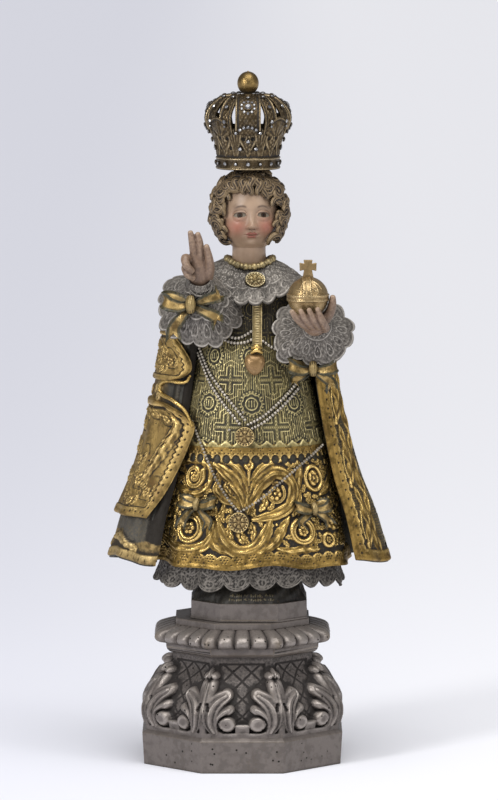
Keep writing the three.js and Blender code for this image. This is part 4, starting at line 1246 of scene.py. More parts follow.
def gadroons():
    lobes = GADROONS["lobes"]
    angle, rise = ring_grid(34, lobes * 22)
    fold = octagon(angle)
    swell = gadroon_swell(rise)
    phase = np.mod(lobes * (angle + math.pi / 8) / TURN + 0.5, 1) - 0.5
    crease = np.abs(2 * phase) ** 5
    half = GADROONS["flats"] / 2 * swell
    reach = (half - 5.6 * crease * swell + 1.3 * (1 - (2 * phase) ** 2)) / np.cos(fold * 0.97)
    points = turned(angle, reach, GADROONS["foot"] + rise * GADROONS["height"] - 0.7 * crease)
    bored(points, 60, (6, 28))
    # Painted shade in the creases between the lobes, and a painted highlight across the middle of their
    # height.
    crest = clamp(0.62 - 0.5 * crease + 0.1 * np.sin(rise * math.pi))
    rust = 0.6 * bump(math.pi / 8 - np.abs(fold), 0, 0.05) * bump(rise, 0.35, 0.3)
    return finished(skin("pedestal_gadroons", points, True, crest=crest, ground=rust), silvered, "pedestal")


def stepped(name, levels, face, middle=0.0, node="pedestal"):
    """A plain eight-sided piece: a square with its corners cut, extruded and resized level by level."""
    (z, half), *others = levels
    piece = primitive("plane", size=2 * half * MM, location=(middle * MM, 0, z * MM))
    mode("EDIT")
    all_faces()
    bpy.ops.mesh.bevel(offset=(half - face) * MM, affect="VERTICES")
    all_faces()
    for height, reach in others:
        extruded(0, 0, (height - z) * MM)
        share = reach / half
        bpy.ops.transform.resize(value=(share, share, 1), center_override=(middle * MM, 0, 0))
        z, half = height, reach
    all_faces()
    bpy.ops.mesh.normals_make_consistent(inside=False)
    mode("OBJECT")
    piece.name = piece.data.name = name
    settle(piece)
    apply_modifier(piece, "BEVEL", width=1.6 * MM, segments=2, profile=1.0, limit_method="ANGLE",
                   angle_limit=0.2)
    apply_modifier(piece, "BEVEL", width=0.5 * MM, segments=3, limit_method="ANGLE", angle_limit=0.2)
    bpy.ops.object.shade_smooth_by_angle(angle=0.5)
    return finished(marked_for_shade_and_wear(piece, 1.2, 1, rust=0.8), silvered, node)


def plinth_holes():
    """Wormholes on the plinth: some listed for its front, the others by chance on its other faces."""
    def sunk(z):
        return PLINTH["flats"] / 2 - 0.06 * (PLINTH["height"] - z)

    for x, z in PLINTH_HOLES:
        wormholes.append((np.array([x, -sunk(z), z]), np.array([0, -1.0, 0]), 1.05))
    for _ in range(60):
        turn = chance.integers(1, 8) * math.pi / 4
        across, z = chance.uniform(-38, 38), chance.uniform(3, 31)
        c, s = math.cos(turn), math.sin(turn)
        place = np.array([across * c + sunk(z) * s, across * s - sunk(z) * c, z])
        wormholes.append((place, np.array([s, -c, 0]), chance.uniform(0.6, 1.05)))


def pedestal():
    drum()
    gadroons()
    plinth, foot, rise = PLINTH["flats"] / 2, PLINTH["foot"] / 2, FRIEZE["foot"]
    neck, lip, ledge = FRIEZE["flats"] / 2, FRIEZE["lip"] / 2, LEDGE["flats"] / 2
    levels = [(0, foot), (PLINTH["height"], plinth), (PLINTH["top"] - 0.2, plinth - 5)]
    stepped("pedestal_plinth", levels, foot * OCTAGON)
    levels = [(rise, neck - 1.4), (rise + 1.2, neck + 0.8), (rise + 3.4, neck + 2.8), (rise + 6, lip - 0.3),
              (FRIEZE["top"], lip)]
    stepped("pedestal_frieze", levels, (neck - 1.4) * OCTAGON)
    stepped("pedestal_ledge", [(LEDGE["foot"], ledge), (LEDGE["top"], ledge)], ledge * OCTAGON)
    plinth_holes()
    mouth = taken(primitive("cylinder", vertices=10, radius=1, depth=0.25))
    places, outward, sizes = (np.array(part) for part in zip(*wormholes))
    return finished(copies("wormholes", mouth, places, outward, sizes), hollow, "pedestal")


# The figure's own base
def base_block():
    half, low = BLOCK["half"], figure_low[2]
    levels = [(low, half), (low + 1.6, half), (low + 2.4, half - 0.9), (GROUND, half - 0.9)]
    return stepped("base_block", levels, BLOCK["face"], FIGURE_AXIS, "figure")


def mound():
    angle, rise = ring_grid(40, 320)
    laid, tall = 60, 24
    carving = Carving(angle * laid, rise * tall)
    for centre in (0, TURN * laid):
        for line, height in [(0, 7.5), (1, 3.5)]:
            for k in range(-11, 8):
                lean = 0.5 * math.sin(k * 2.3 + line)
                a = centre + k * 2.5 + 7
                carving.ridge([(a, height), (a + lean, height + 2.2)], 0.5, 0.7)
                if k % 3:
                    carving.ridge([(a, height + 1.1 + lean), (a + 1.3, height + 1.2)], 0.45, 0.6)
    rough = 0.6 * np.sin(angle * 17 + rise * 5) * np.sin(angle * 29 - rise * 9)
    reach = (mix(60, 49, rise**1.6) + rough + carving.height) / np.cos(octagon(angle) * (1 - rise))
    points = turned(angle, reach, GROUND - 0.5 + rise * 25)
    points[..., 0] += FIGURE_AXIS
    return finished(skin("mound", points, True, crest=crest_of(carving.height, 2, 0.9)), dark_mound)


# Small models, made once by hand and set down many times
def taken(thing):
    """The points and triangles of a hand-made model, which is then put away."""
    settle(thing)
    mode("EDIT")
    all_faces()
    bpy.ops.mesh.quads_convert_to_tris()
    mode("OBJECT")
    points = points_of(thing.data)
    faces = np.array([tuple(face.vertices) for face in thing.data.polygons])
    bpy.data.objects.remove(thing)
    return points, faces


def select_faces(thing, wanted):
    """Goes into edit mode with only the wanted faces selected."""
    mode("EDIT")
    bpy.ops.mesh.select_mode(type="FACE")
    bpy.ops.mesh.select_all(action="DESELECT")
    mode("OBJECT")
    for face in thing.data.polygons:
        face.select = bool(wanted(face))
    mode("EDIT")


def stone_model():
    """A round cut stone: a girdle, a sloping crown and a flat table."""
    stone = primitive("cylinder", vertices=8, radius=1, depth=0.5)
    select_faces(stone, lambda face: face.normal.z > 0.9)
    extruded(0, 0, 0.35)
    bpy.ops.transform.resize(value=(0.58, 0.58, 1))
    mode("OBJECT")
    return taken(stone)


def collet_model():
    """The raised metal ring that a stone sits in."""
    collet = primitive("cylinder", vertices=12, radius=1.38, depth=0.9)
    select_faces(collet, lambda face: face.normal.z > 0.9)
    bpy.ops.mesh.inset(thickness=0.3)
    extruded(0, 0, -0.35)
    mode("OBJECT")
    return taken(collet)


def copies(name, model, places, outward, size=1.0, smooth=True, crest=0.6):
    """Copies of a small model, each on its place with its top turned outward."""
    points, faces = model
    places = np.asarray(places, float)
    up = np.broadcast_to(unit(np.asarray(outward, float)), places.shape)
    size = np.broadcast_to(np.asarray(size, float), (len(places),))
    helper = np.where(np.abs(up[:, 2:]) > 0.9, np.array([[0, 1.0, 0]]), np.array([[0, 0, 1.0]]))
    side = unit(np.cross(helper, up))
    axes = (side, np.cross(up, side), up)
    local = points[None] * size[:, None, None]
    spots = places[:, None] + sum(local[..., k:k + 1] * axis[:, None] for k, axis in enumerate(axes))
    every = (faces[None] + (np.arange(len(places)) * len(points))[:, None, None]).reshape(-1, 3)
    thing = mesh_object(name, spots, every, crest=crest)
    if not smooth:
        thing.data.polygons.foreach_set("use_smooth", np.zeros(len(thing.data.polygons), bool))
    return thing


def marked_for_shade_and_wear(thing, gain=0.6, passes=4, ground=0.0, rust=0.0, shift=0.0):
    """Marks crests and recesses by how far each point stands out, for painted highlights and painted shade,
    and rust on sharp edges.
    """
    mesh = thing.data
    count = len(mesh.vertices)
    place, normal = points_of(mesh) / MM, np.empty(count * 3)
    mesh.vertex_normals.foreach_get("vector", normal)
    edge = np.empty(len(mesh.edges) * 2, np.int32)
    mesh.edges.foreach_get("vertices", edge)
    a, b = np.concatenate([edge[::2], edge[1::2]]), np.concatenate([edge[1::2], edge[::2]])
    degree = np.bincount(a, minlength=count) + 1
    soft = place
    for _ in range(passes):
        soft = np.stack([(np.bincount(a, soft[b, k], count) + soft[:, k]) / degree for k in range(3)], -1)
    rise = ((place - soft) * normal.reshape(-1, 3)).sum(-1)
    marks = {"crest": clamp(0.5 + shift + gain * rise), "ground": ground + rust * smoothstep(rise, 0.02, 0.1)}
    for mark, values in marks.items():
        layer = mesh.attributes.get(mark) or mesh.attributes.new(mark, "FLOAT", "POINT")
        layer.data.foreach_set("value", values)
    return thing


def limb(points, radii, sides=18, flat=1.0):
    """A tube along grid points, smoothed between them."""
    path = smooth_line(points, 5)
    return tube("limb", on(*path.T), spread(radii, np.linspace(0, 1, len(path))), sides, flat)


def moulded(name, limbs, grain):
    """Limbs melted into one smooth skin."""
    thing = joined(name, limbs)
    apply_modifier(thing, "REMESH", mode="VOXEL", voxel_size=grain * MM, use_smooth_shade=True)
    apply_modifier(thing, "SMOOTH", factor=0.5, iterations=3)
    return marked_for_shade_and_wear(thing, 0.9, 5)


def ribbon(points, half_widths, lean, thick, notch=0.0):
    """A carved band of ribbon along grid points. Lean is the way its width points at each."""
    path = smooth_line(points, 7)
    share = np.linspace(0, 1, len(path))
    leans = np.stack([spread(part, share) for part in np.array(lean, float).T], -1)
    along = unit(np.gradient(path, axis=0))
    across = unit(leans - (leans * along).sum(-1, keepdims=True) * along)
    out = np.cross(along, across)[:, None]
    c = np.linspace(-1, 1, 15)[None, :, None]
    down = share[:, None, None]
    centre = path[:, None] + across[:, None] * c * spread(half_widths, down)
    centre = centre + along[:, None] * (notch * (np.abs(c) - 0.5) * smoothstep(down, 0.75, 1))
    crease = 0.7 * np.sin(down * 11 + 1) * np.cos(2.2 * c + down * 5)
    centre = on(*np.moveaxis(centre + out * crease, -1, 0))
    rim = 0.3 * smoothstep(np.abs(c), 0.78, 0.9) - 0.5 * bump(np.abs(c), 0.74, 0.1)
    outer, inner = centre + out * (rim + thick / 2), centre - out * (rim + thick / 2)
    # Painted highlight: the crest follows the ribbon's bends, lighter where it bulges out.
    crest = clamp(0.6 + 0.25 * crease)
    edged = np.maximum(smoothstep(np.abs(c), 0.42, 0.66), 0.7 * smoothstep(0.4 - down, 0, 0.3))
    return facing_out(shell("ribbon", outer, inner, crest=crest, ground=edged))


def bow(name, centre, size, tails, toward, loops=(-1, 1)):
    """A carved bow: two open loops, a ribbed knot and notched tails, facing the way it is told."""
    front = unit(np.array(toward, float))
    right = unit(np.cross(front, np.array([0, 0, 1.0])))
    right = -right if right[0] < 0 else right
    up = np.cross(right, -front)
    up = up if up[2] > 0 else -up

    def way(vectors):
        v = np.array(vectors, float)
        return v[:, :1] * right + v[:, 2:] * up - v[:, 1:2] * front

    def set_down(places):
        return np.array(centre) + size * way(places)

    def sized(*widths):
        return [size * width for width in widths]

    loop = [(0.06, 0.02, 0), (0.3, 0.16, 0.1), (0.72, 0.14, 0.24), (0.98, -0.06, 0.2), (0.84, -0.3, 0.02),
            (0.42, -0.26, -0.08), (0.08, -0.1, 0)]
    loop_lean = [(0, 0.3, 1), (0, 0.35, 1), (0.1, 0.4, 1), (0, 0.5, 1), (-0.1, 0.4, 1), (0, 0.3, 1),
                 (0, 0.2, 1)]
    parts = []
    for hand in loops:
        mirror = np.array([hand, 1, 1])
        widths = sized(0.1, 0.2, 0.26, 0.27, 0.28, 0.22, 0.12)
        parts.append(ribbon(set_down(loop * mirror), widths, way(loop_lean * mirror), 1.7))
    for x, z in tails:
        x, z = x / size, z / size
        bent = 0.12 if x > 0 else -0.12
        path = [(0.05 * np.sign(x), -0.02, -0.08), (0.45 * x, -0.1, 0.35 * z),
                (0.8 * x + bent, 0.02, 0.7 * z), (x, -0.1, z)]
        lean = [(z, slant, -x) for slant in (0.2, 0.5, -0.2, 0.4)]
        parts.append(ribbon(set_down(path), sized(0.1, 0.2, 0.24, 0.3), way(lean), 1.6, 0.34 * size))
    knot = set_down([(0, -0.16, 0.22), (0, -0.24, 0.05), (0, -0.24, -0.05), (0, -0.16, -0.22)])
    knot = tube("knot", on(*knot.T), sized(0.14, 0.17, 0.17, 0.14), 30, ribs=0.14)
    parts.append(marked_for_shade_and_wear(knot, 1.4, 2, ground=0.5, shift=-0.15))
    return finished(joined(name, parts), ribbon_gilding)


def front_place(x, z, out=0.0):
    """A place on the tunic seen from the front."""
    wide, _, middle = tunic_shape(z)
    return tunic_point(np.arcsin(clamp((x - middle) / wide, -0.98, 0.98)), z, out)


def disc(name, centre, outward, radius, thick, finish, flat=1.0):
    """A round plaque with a rosette in relief."""
    up = unit(np.array(outward, float))
    side = unit(np.cross([0, 0, 1.0], up))
    fore = np.cross(up, side)
    angle, share = ring_grid(34, 96)
    rims = 1.6 * bump(share, 0.9, 0.07) + 0.7 * bump(share, 0.72, 0.05)
    beads = 1.2 * bump(share, 0.8, 0.06) * (0.5 + 0.5 * np.cos(18 * angle))
    petals = 1.5 * bump(share, 0.42, 0.2) * np.abs(np.cos(3 * angle)) ** 0.6
    high = 0.8 * (1 - share**2) + 1.3 * (rims + beads + petals) + 1.6 * bump(share, 0, 0.16)
    edge = np.where(share > 0.98, -thick, high)
    r = radius * np.minimum(share, 0.985) / 0.985
    points = (np.array(centre) + (r * np.sin(angle))[..., None] * side
              + (flat * r * np.cos(angle))[..., None] * fore + edge[..., None] * up)
    return finished(facing_out(skin(name, points, True, crest=crest_of(high, 2, 0.7, True))), finish)


# Head
HEAD = np.array([0.0, -6.0, 408.0])
HEAD_TURN = 0.1
HEAD_LIFT = 0.07
EYE = {"x": 12.4, "z": -5.0, "half": 6.2, "upper": 3.0, "lower": 2.0}


def turned_head(x, y, z):
    """Places about the middle of the head, turned and lifted with it."""
    c, s = math.cos(HEAD_LIFT), math.sin(HEAD_LIFT)
    y, z = y * c + z * s, z * c - y * s
    c, s = math.cos(HEAD_TURN), math.sin(HEAD_TURN)
    return on(HEAD[0] + x * c - y * s, HEAD[1] + y * c + x * s, HEAD[2] + z)


def face_relief(x, z):
    """A calm child's features on even proportions, and where each is painted."""
    ax = np.abs(x)
    high = 2.2 * bump(np.hypot(x / 1.15, z - 15), 0, 16)
    high += 3.6 * bump(np.hypot((ax - 16) / 1.05, z + 18.5), 0, 10)
    high += 0.8 * bump(ax, 12, 8) * bump(z, 4.0, 4)
    high -= 3.4 * bump(np.hypot((ax - EYE["x"]) / 1.3, z - EYE["z"] - 1.2), 0, 5.2)
    bridge = smoothstep(-z, -4, 17) * smoothstep(-z, 20.2, 17.4)
    high += 4.4 * bridge * bump(x, 0, mix(3.0, 4.2, clamp(-z / 17)))
    high += 2.6 * bump(np.hypot(x, (z + 16.0) / 0.92), 0, 3.9)
    high += 1.9 * bump(np.hypot(ax - 4.6, z + 17.2), 0, 2.2)
    high -= 1.1 * bump(np.hypot(ax - 2.3, (z + 19.6) * 1.5), 0, 1.1)
    high -= 0.45 * bump(x, 0, 1.2) * smoothstep(z, -24.6, -22.6) * smoothstep(-z, 19, 21)
    high += 2.2 * bump(np.hypot(x / 1.6, z + 26.2), 0, 6.5)
    bowed = 0.8 * bump(ax, 2.0, 1.5) - 0.35 * bump(x, 0, 0.9)
    upper = bump(z, -23.8 + 0.5 * bowed - 0.10 * ax, 1.25) * smoothstep(ax, 7.4, 3.8)
    lower = bump(z, -27.2, 1.5) * smoothstep(ax, 6.0, 3.0)
    high += 1.4 * upper + 1.6 * lower
    parting = bump(z, -25.4 - 0.3 * bump(x, 0, 1.8) + 0.02 * ax, 0.42) * smoothstep(ax, 7.8, 6.2)
    high -= 0.9 * parting + 0.6 * bump(np.hypot(ax - 7.8, z + 25.3), 0, 1.4)
    high -= 1.0 * bump(np.hypot(x / 2.2, z + 30.4), 0, 2.2)
    high += 2.0 * bump(np.hypot(x / 1.25, z + 34.6), 0, 4.8)
    from_eye = ax - EYE["x"]
    t = from_eye / EYE["half"]
    arch = np.sqrt(clamp(1 - t * t))
    dz = z - EYE["z"] + 0.35 * t
    open_up, open_down = EYE["upper"] * arch**0.8, EYE["lower"] * arch**0.9
    inside = (np.abs(t) < 1) & (dz < open_up) & (dz > -open_down)
    ball = 3.0 * clamp(1 - (np.hypot(from_eye / 1.15, dz) / 7.2) ** 2) ** 1.2
    above, below = dz - open_up, -open_down - dz
    lid = np.where(above > 0, 0.7 * np.exp(-((above / 1.9) ** 2)) - 0.6 * bump(above, 2.7, 0.55), 0)
    lid = lid + np.where(below > 0, 0.2 * np.exp(-((below / 1.5) ** 2)), 0)
    near = smoothstep(1.35 - np.abs(t), 0, 0.4) * smoothstep(7.5 - np.abs(dz), 0, 3)
    high += near * (ball + np.where(inside, -0.3, lid))
    iris_away = np.hypot(from_eye, dz - 0.35)
    white = inside.astype(float)
    lash = near * ~inside * (bump(above, 0.1, 0.9) + 0.4 * bump(above, 2.7, 0.5)) * (np.abs(t) < 1.1)
    along_brow = clamp((ax - 5) / 14)
    brow = bump(z, 3.4 + 2.2 * np.sin(along_brow * math.pi) - 1.6 * along_brow, 1.15)
    brow = brow * smoothstep(ax, 4.5, 7.5) * smoothstep(ax, 19.0, 14.0)
    lids = bump(np.hypot(from_eye / 1.4, z - EYE["z"]), 0, 6.5)
    paint = {
        "white": white,
        "iris": white * smoothstep(3.1 - iris_away, 0, 0.35),
        "pupil": white * smoothstep(1.4 - iris_away, 0, 0.3),
        "dark": clamp(lash + 0.95 * brow),
        "lips": clamp(upper * 1.1 + lower + 0.4 * parting) * smoothstep(ax, 7.8, 5.8),
        "blush": clamp(bump(np.hypot((ax - 16) / 1.2, z + 17), 0, 8.5) + 0.15 * lids),
    }
    return high, paint


def head():
    angle = front_columns(1.15, 230, 60)
    lat = np.concatenate([np.linspace(-1.55, -1.15, 12), np.linspace(-1.15, 0.75, 220)[1:],
                          np.linspace(0.75, 1.55, 24)[1:]])[:, None]
    z = np.where(lat < 0, 43, 41) * np.sin(lat)
    round_lat = np.cos(lat)
    fuller = 1 + 0.07 * bump(z, -15, 15) - 0.03 * bump(z, -38, 8)
    x = 30.5 * fuller * round_lat ** mix(1, 0.72, smoothstep(-z, 0, 26)) * np.sin(angle)
    forward = np.cos(angle)
    depth = np.where(forward > 0, 31.0 * (1 - 0.08 * smoothstep(-z, -6, 38)), 34.0)
    high, marks = face_relief(x, z)
    ahead = smoothstep(forward * round_lat, 0.12, 0.42)
    points = turned_head(x, -depth * round_lat**0.92 * forward - high * ahead, z)
    marks = {name: value * ahead for name, value in marks.items()}
    return finished(skin("head", points, True, crest=crest_of(high, 3, 0.35), **marks), flesh)


def lock(path, width, up):
    """A ribbed lock of hair."""
    return tube("lock", on(*path.T), width, 24, 0.85, up, ribs=0.12)


def curl(anchor, outward, radius, turns, start, hand, thick, rise):
    """A lock that winds in towards its middle, over the scalp, and thins to a point."""
    up = unit(outward)
    helper = np.array([0, 0, 1.0]) if abs(up[2]) < 0.85 else np.array([0, 1.0, 0])
    side = unit(np.cross(helper, up))
    fore = np.cross(up, side)
    t = np.linspace(0, 1, int(13 * turns) + 7)
    r = radius * (1 - 0.84 * t)
    angle = start + hand * TURN * turns * t
    path = anchor + (r * np.cos(angle))[:, None] * side + (r * np.sin(angle))[:, None] * fore
    path = path + up * (rise * t - 0.022 * r**2)[:, None]
    width = thick * (0.22 + 0.78 * np.sin(math.pi * clamp(t * 0.86 + 0.1)) ** 0.8)
    return lock(path, width, up)


def wave(anchor, outward, down, length, bend, thick):
    """A short S-shaped lock that lies on the brow or the nape."""
    up = unit(outward)
    fore = unit(np.array(down, float) - up * np.dot(up, down))
    side = np.cross(up, fore)
    t = np.linspace(0, 1, 15)
    curve = bend * np.sin(t * math.pi * 1.7) * (0.5 + 0.6 * t)
    lift = 1.6 * np.sin(t * math.pi) - 1.2 * t
    path = anchor + (t * length)[:, None] * fore + curve[:, None] * side + lift[:, None] * up
    width = thick * (0.2 + 0.8 * np.sin(math.pi * clamp(t * 0.8 + 0.14)) ** 0.8)
    return lock(path, width, up)


def hair():
    """Short thick curls round the face, flattened under the crown's seat."""
    locks = []
    centre = np.array([0.0, -4.0, 409.0])
    radii = np.array([37.0, 37.0, 40.0])
    count = 92
    golden = math.pi * (3 - math.sqrt(5))
    for i in range(count):
        level = 1 - 1.86 * (i + 0.5) / count
        ring = math.sqrt(1 - level * level)
        way = np.array([ring * math.sin(i * golden), -ring * math.cos(i * golden), level])
        facing = way[1] < -0.24 and level < 0.62 and abs(way[0]) < 0.9
        if facing or level < -0.7:
            continue
        shift = chance.uniform(-1.6, 1.6, 3)
        full = 1 + 0.05 * bump(level, -0.25, 0.4)
        locks.append(curl(centre + way * radii * full + shift, way / radii, chance.uniform(6.0, 9.0),
                          chance.uniform(0.55, 0.95), chance.uniform(0, 6.28), chance.choice([-1, 1]),
                          chance.uniform(4.2, 5.6), 3.0))
    for k in range(27):
        turn = math.radians(-131 + k * 262 / 26 + chance.uniform(-4, 4))
        near = 1 + chance.uniform(-0.07, 0.08)
        x, z = 33.6 * near * math.sin(turn), 37.5 * near * math.cos(turn) - 4.0
        y = -27.5 * math.sqrt(max(0.02, 1 - (x / 42) ** 2 - (z / 52) ** 2)) - 2.5
        way = np.array([x * 0.8, y, 0.5 * z])
        hand = 1 if k % 2 else -1
        locks.append(curl(HEAD + [x, y + 1.5, z], way, chance.uniform(5.4, 8.6), chance.uniform(0.7, 1.3),
                          turn + 1.6 + chance.uniform(-0.9, 0.9), hand, chance.uniform(3.4, 4.8), 2.4))
    for k in range(15):
        x = -24 + 48 * k / 14
        z = 31 - 0.014 * x * x + chance.uniform(-2.5, 2.5)
        way = np.array([x * 0.8, -28, 14])
        hand = 1 if k % 2 else -1
        locks.append(wave(HEAD + [x, -26 + 0.016 * x * x, z + 3], way, (0.2 * x + 12 * hand, -4, -26),
                          chance.uniform(8, 14), hand * chance.uniform(2.6, 4.2), chance.uniform(3.4, 4.8)))
    cap = ball("scalp", on(0, -1.5, 409.5), (37, 36, 41))
    apply_modifier(cap, "TRIANGULATE")
    brow = on(0, -20, 434) * MM
    select_faces(cap, lambda face: face.center.y < brow[1] and face.center.z < brow[2])
    bpy.ops.mesh.delete(type="FACE")
    mode("OBJECT")
    bpy.ops.object.shade_smooth()
    thing = joined("hair", [cap] + locks)
    places = points_of(thing.data)
    ceiling, soft = (crown_low[2] - 0.6) * MM, 2 * MM
    over = places[:, 2] - ceiling + soft
    places[:, 2] = np.where(over > 0, ceiling - soft * np.exp(-over / soft), places[:, 2])
    thing.data.vertices.foreach_set("co", places.ravel())
    thing.data.update()
    return finished(marked_for_shade_and_wear(thing, 1.1, 4, shift=-0.14), hair_paint)


def neck():
    line = [(0, -4, 340), (0, -4, 352), (0, -5, 362), (0, -5, 372), (0, -4, 388)]
    column = limb(line, [20.5, 18.8, 17.6, 17.4, 19], 40)
    return finished(moulded("neck", [column], 1.2), flesh)


ORB_PALM = np.array([61, -86, 324])


def hands():
    """Limbs for the palm and the fingers of each hand. The left one's are counted from its palm."""
    palm = [(-50, -50, 318), (-51, -62, 330), (-52, -70, 343), (-54, -73, 357), (-55, -74, 365)]
    fingers = [
        ([(-56.2, -74, 362), (-57.5, -76, 373), (-59, -77, 383), (-60.6, -78, 391)], [4.5, 4.3, 3.8, 2.9]),
        ([(-50.6, -75, 362), (-50.4, -77, 373), (-51.2, -78, 382), (-52.9, -78, 389.5)], [4.4, 4.2, 3.7, 2.8]),
        ([(-43.5, -68, 344), (-41, -75, 354), (-41.5, -80, 365), (-44, -83, 377)], [6.8, 5.6, 4.3, 3.1]),
        ([(-61, -72, 361), (-66, -82, 365), (-64.5, -88, 358), (-59, -85, 352)], [4.8, 4.7, 4.2, 3.3]),
        ([(-61, -70, 352), (-66, -79, 355), (-63.5, -84, 348), (-58, -81, 344)], [4.5, 4.3, 3.9, 3.1]),
    ]
    right = [limb(palm, [10.5, 9.6, 10.8, 10.4, 7.5], 24, 0.74), *(limb(*finger) for finger in fingers)]
    finished(moulded("right_hand", right, 0.8), hand_paint)
    palm = [(10, 10, -33), (8, 2, -29), (6, -7, -25.5), (3, -13, -21.5)]
    thumb = [(14, 2, -26), (22, -1, -16), (25, -4, -7), (25.5, -5, 1)]
    left = [limb(palm + ORB_PALM, [11, 12, 12.5, 8.5], 26)]
    for i, dx in enumerate((-13, -5, 3, 11)):
        finger = [(12 + 0.5 * dx, -6, -31), (7 + 0.85 * dx, -18, -26), (1.5 + 1.05 * dx, -24.5, -18.5),
                  (-2.5 + 1.1 * dx, -25.6, -11.5 + 0.8 * i)]
        left.append(limb(finger + ORB_PALM, [5.2, 4.4, 3.7, 2.6]))
    left.append(limb(thumb + ORB_PALM, [6.6, 5.4, 4.5, 3.2]))
    finished(moulded("left_hand", left, 0.8), hand_paint)


def sleeves():
    right = limb([(-38, -2, 316), (-48, -18, 303), (-52, -30, 304), (-50, -45, 315)], [16, 22, 25, 17], 40)
    left = limb([(40, -2, 312), (56, -24, 290), (66, -44, 284), (69, -66, 288)], [16, 22, 24, 17], 40)
    # Painted shade: the sleeves are marked as recess all over, so the lace finish paints them dark.
    return finished(marked_for_shade_and_wear(joined("sleeves", [right, left]), 0.5, shift=-0.4), lace)


# Jewels
AHEAD = (0, -1, 0)


def strand(places, out=2.4, step=3.7):
    """Places at even steps on the tunic, for beads along points seen from the front."""
    path = np.array([front_place(x, z, out) for x, z in smooth_line(places, 8)])
    length = run_of(path)
    at = np.linspace(0, length[-1], max(2, int(round(length[-1] / step)) + 1))
    return np.stack([np.interp(at, length, path[:, k]) for k in range(3)], -1)


def jewels():
    bead = taken(primitive("uv_sphere", segments=8, ring_count=6, radius=1))
    silver_rows = [
        [(-54.3, 267), (-46, 247), (-39.4, 231), (-26.5, 211), (-9.7, 190)],
        [(-49.8, 265), (-43, 248), (-36.4, 236), (-22, 216.5), (-4, 194)],
        [(49, 231), (38, 219), (27.7, 209), (13.5, 197), (-1, 189)],
        [(51, 226), (40, 213.5), (29, 203), (15, 191.5), (3, 185)],
        [(-29, 279), (-21, 274.5), (-12.5, 273), (-4, 274), (2, 276.5)],
        [(-28, 285), (-20, 280), (-12, 278), (-5, 280.5), (2, 285)],
        [(14, 275), (22, 269), (30, 265), (38, 263)],
    ]
    places = np.vstack([strand(row) for row in silver_rows])
    finished(copies("pearl_strands", bead, places, AHEAD, 1.72, crest=0.74), pearl)
    chain_rows = [
        [(-56, 190), (-46, 164), (-35, 137), (-22, 114), (-11, 99)],
        [(73, 164), (56, 150), (37, 134), (14, 114), (-8, 99)],
    ]
    places = np.vstack([strand(row, 4.4, 3.6) for row in chain_rows])
    finished(copies("lower_chain", bead, places, AHEAD, 1.6), pearl)
    places = [front_place(x, z, 4) for x, z in [(-19.5, 183.5), (-6, 202)]]
    finished(copies("skirt_beads", bead, places, AHEAD, 1.6), pearl)
    for name, x, z, radius in [("medallion_upper", -4, 177, 10.6), ("medallion_lower", -10, 88, 11)]:
        spot, ahead = front_place(x, z, 5.5), front_place(x, z, 15.5)
        disc(name, spot, ahead - spot, radius, 5, bronzing)
    spot, out = collar_place(0.13, 0.31)
    disc("brooch", spot + 2.2 * out, out + [0, 0, -0.1], 10.8, 4.5, pale_gilding, 0.86)
    turn = np.radians(np.linspace(-128, 128, 25))
    places = on(1 + 23.8 * np.sin(turn), -4 - 23.2 * np.cos(turn), 357.5 - 7.0 * np.cos(turn) ** 2)
    sizes = np.where(np.arange(25) % 2, 4.1, 3.3)
    finished(copies("necklace", bead, places, AHEAD, sizes), pale_gilding)

    across, down = np.linspace(-1, 1, 25)[None], np.linspace(0, 1, 90)[:, None]
    x, z = 8.2 + 4.6 * across + 0 * down, mix(316, 268, down) + 0 * across
    relief = 0.7 * smoothstep(np.abs(across), 0.78, 0.88) + 0.35 * np.cos(z * 2.4) * bump(across, 0, 0.5)
    outer, inner = front_place(x, z, 3.0 + relief), front_place(x, z, 0.2)
    strip = facing_out(shell("pendant_ribbon", outer, inner, crest=crest_of(relief, 2, 0.7)))
    finished(strip, pale_gilding)

    angle, share = ring_grid(26, 90)
    s, c = np.sin(angle), np.cos(angle)
    below = c < 0
    side = 10.4 * np.sign(s) * np.abs(s) ** np.where(below, 1.25, 0.8)
    rise = np.where(below, 14.5, 8.5) * np.sign(c) * np.abs(c) ** np.where(below, 1.0, 0.8)
    bulge = 7.0 * np.sqrt(clamp(1 - share**2.2))
    points = front_place(5.9 + side * share, 253.9 + rise * share, 1.0 + bulge)
    finished(facing_out(skin("heart", points, True, crest=0.72)), heart_gilding)
    knots = [limb([(3, -54.5, 264), (8, -57, 266.5), (13, -54.5, 264)], [1.8, 2.6, 1.8]),
             limb([(3.5, -54, 268.5), (8, -56.5, 270.5), (12.5, -54, 268.5)], [1.6, 2.3, 1.6])]
    finished(marked_for_shade_and_wear(joined("heart_cap", knots), 0.8), gilding)


def collar_place(angle, rise):
    """A place on the collar and the way out of it."""
    wide, deep = (size * mix(1, 0.2, rise**0.8) for size in COLLAR_REACH)
    place = on(wide * math.sin(angle) - 1, -deep * math.cos(angle), collar_drop(angle, rise))
    return place, unit(np.array([math.sin(angle) / 1.25, -math.cos(angle), 0.9]))


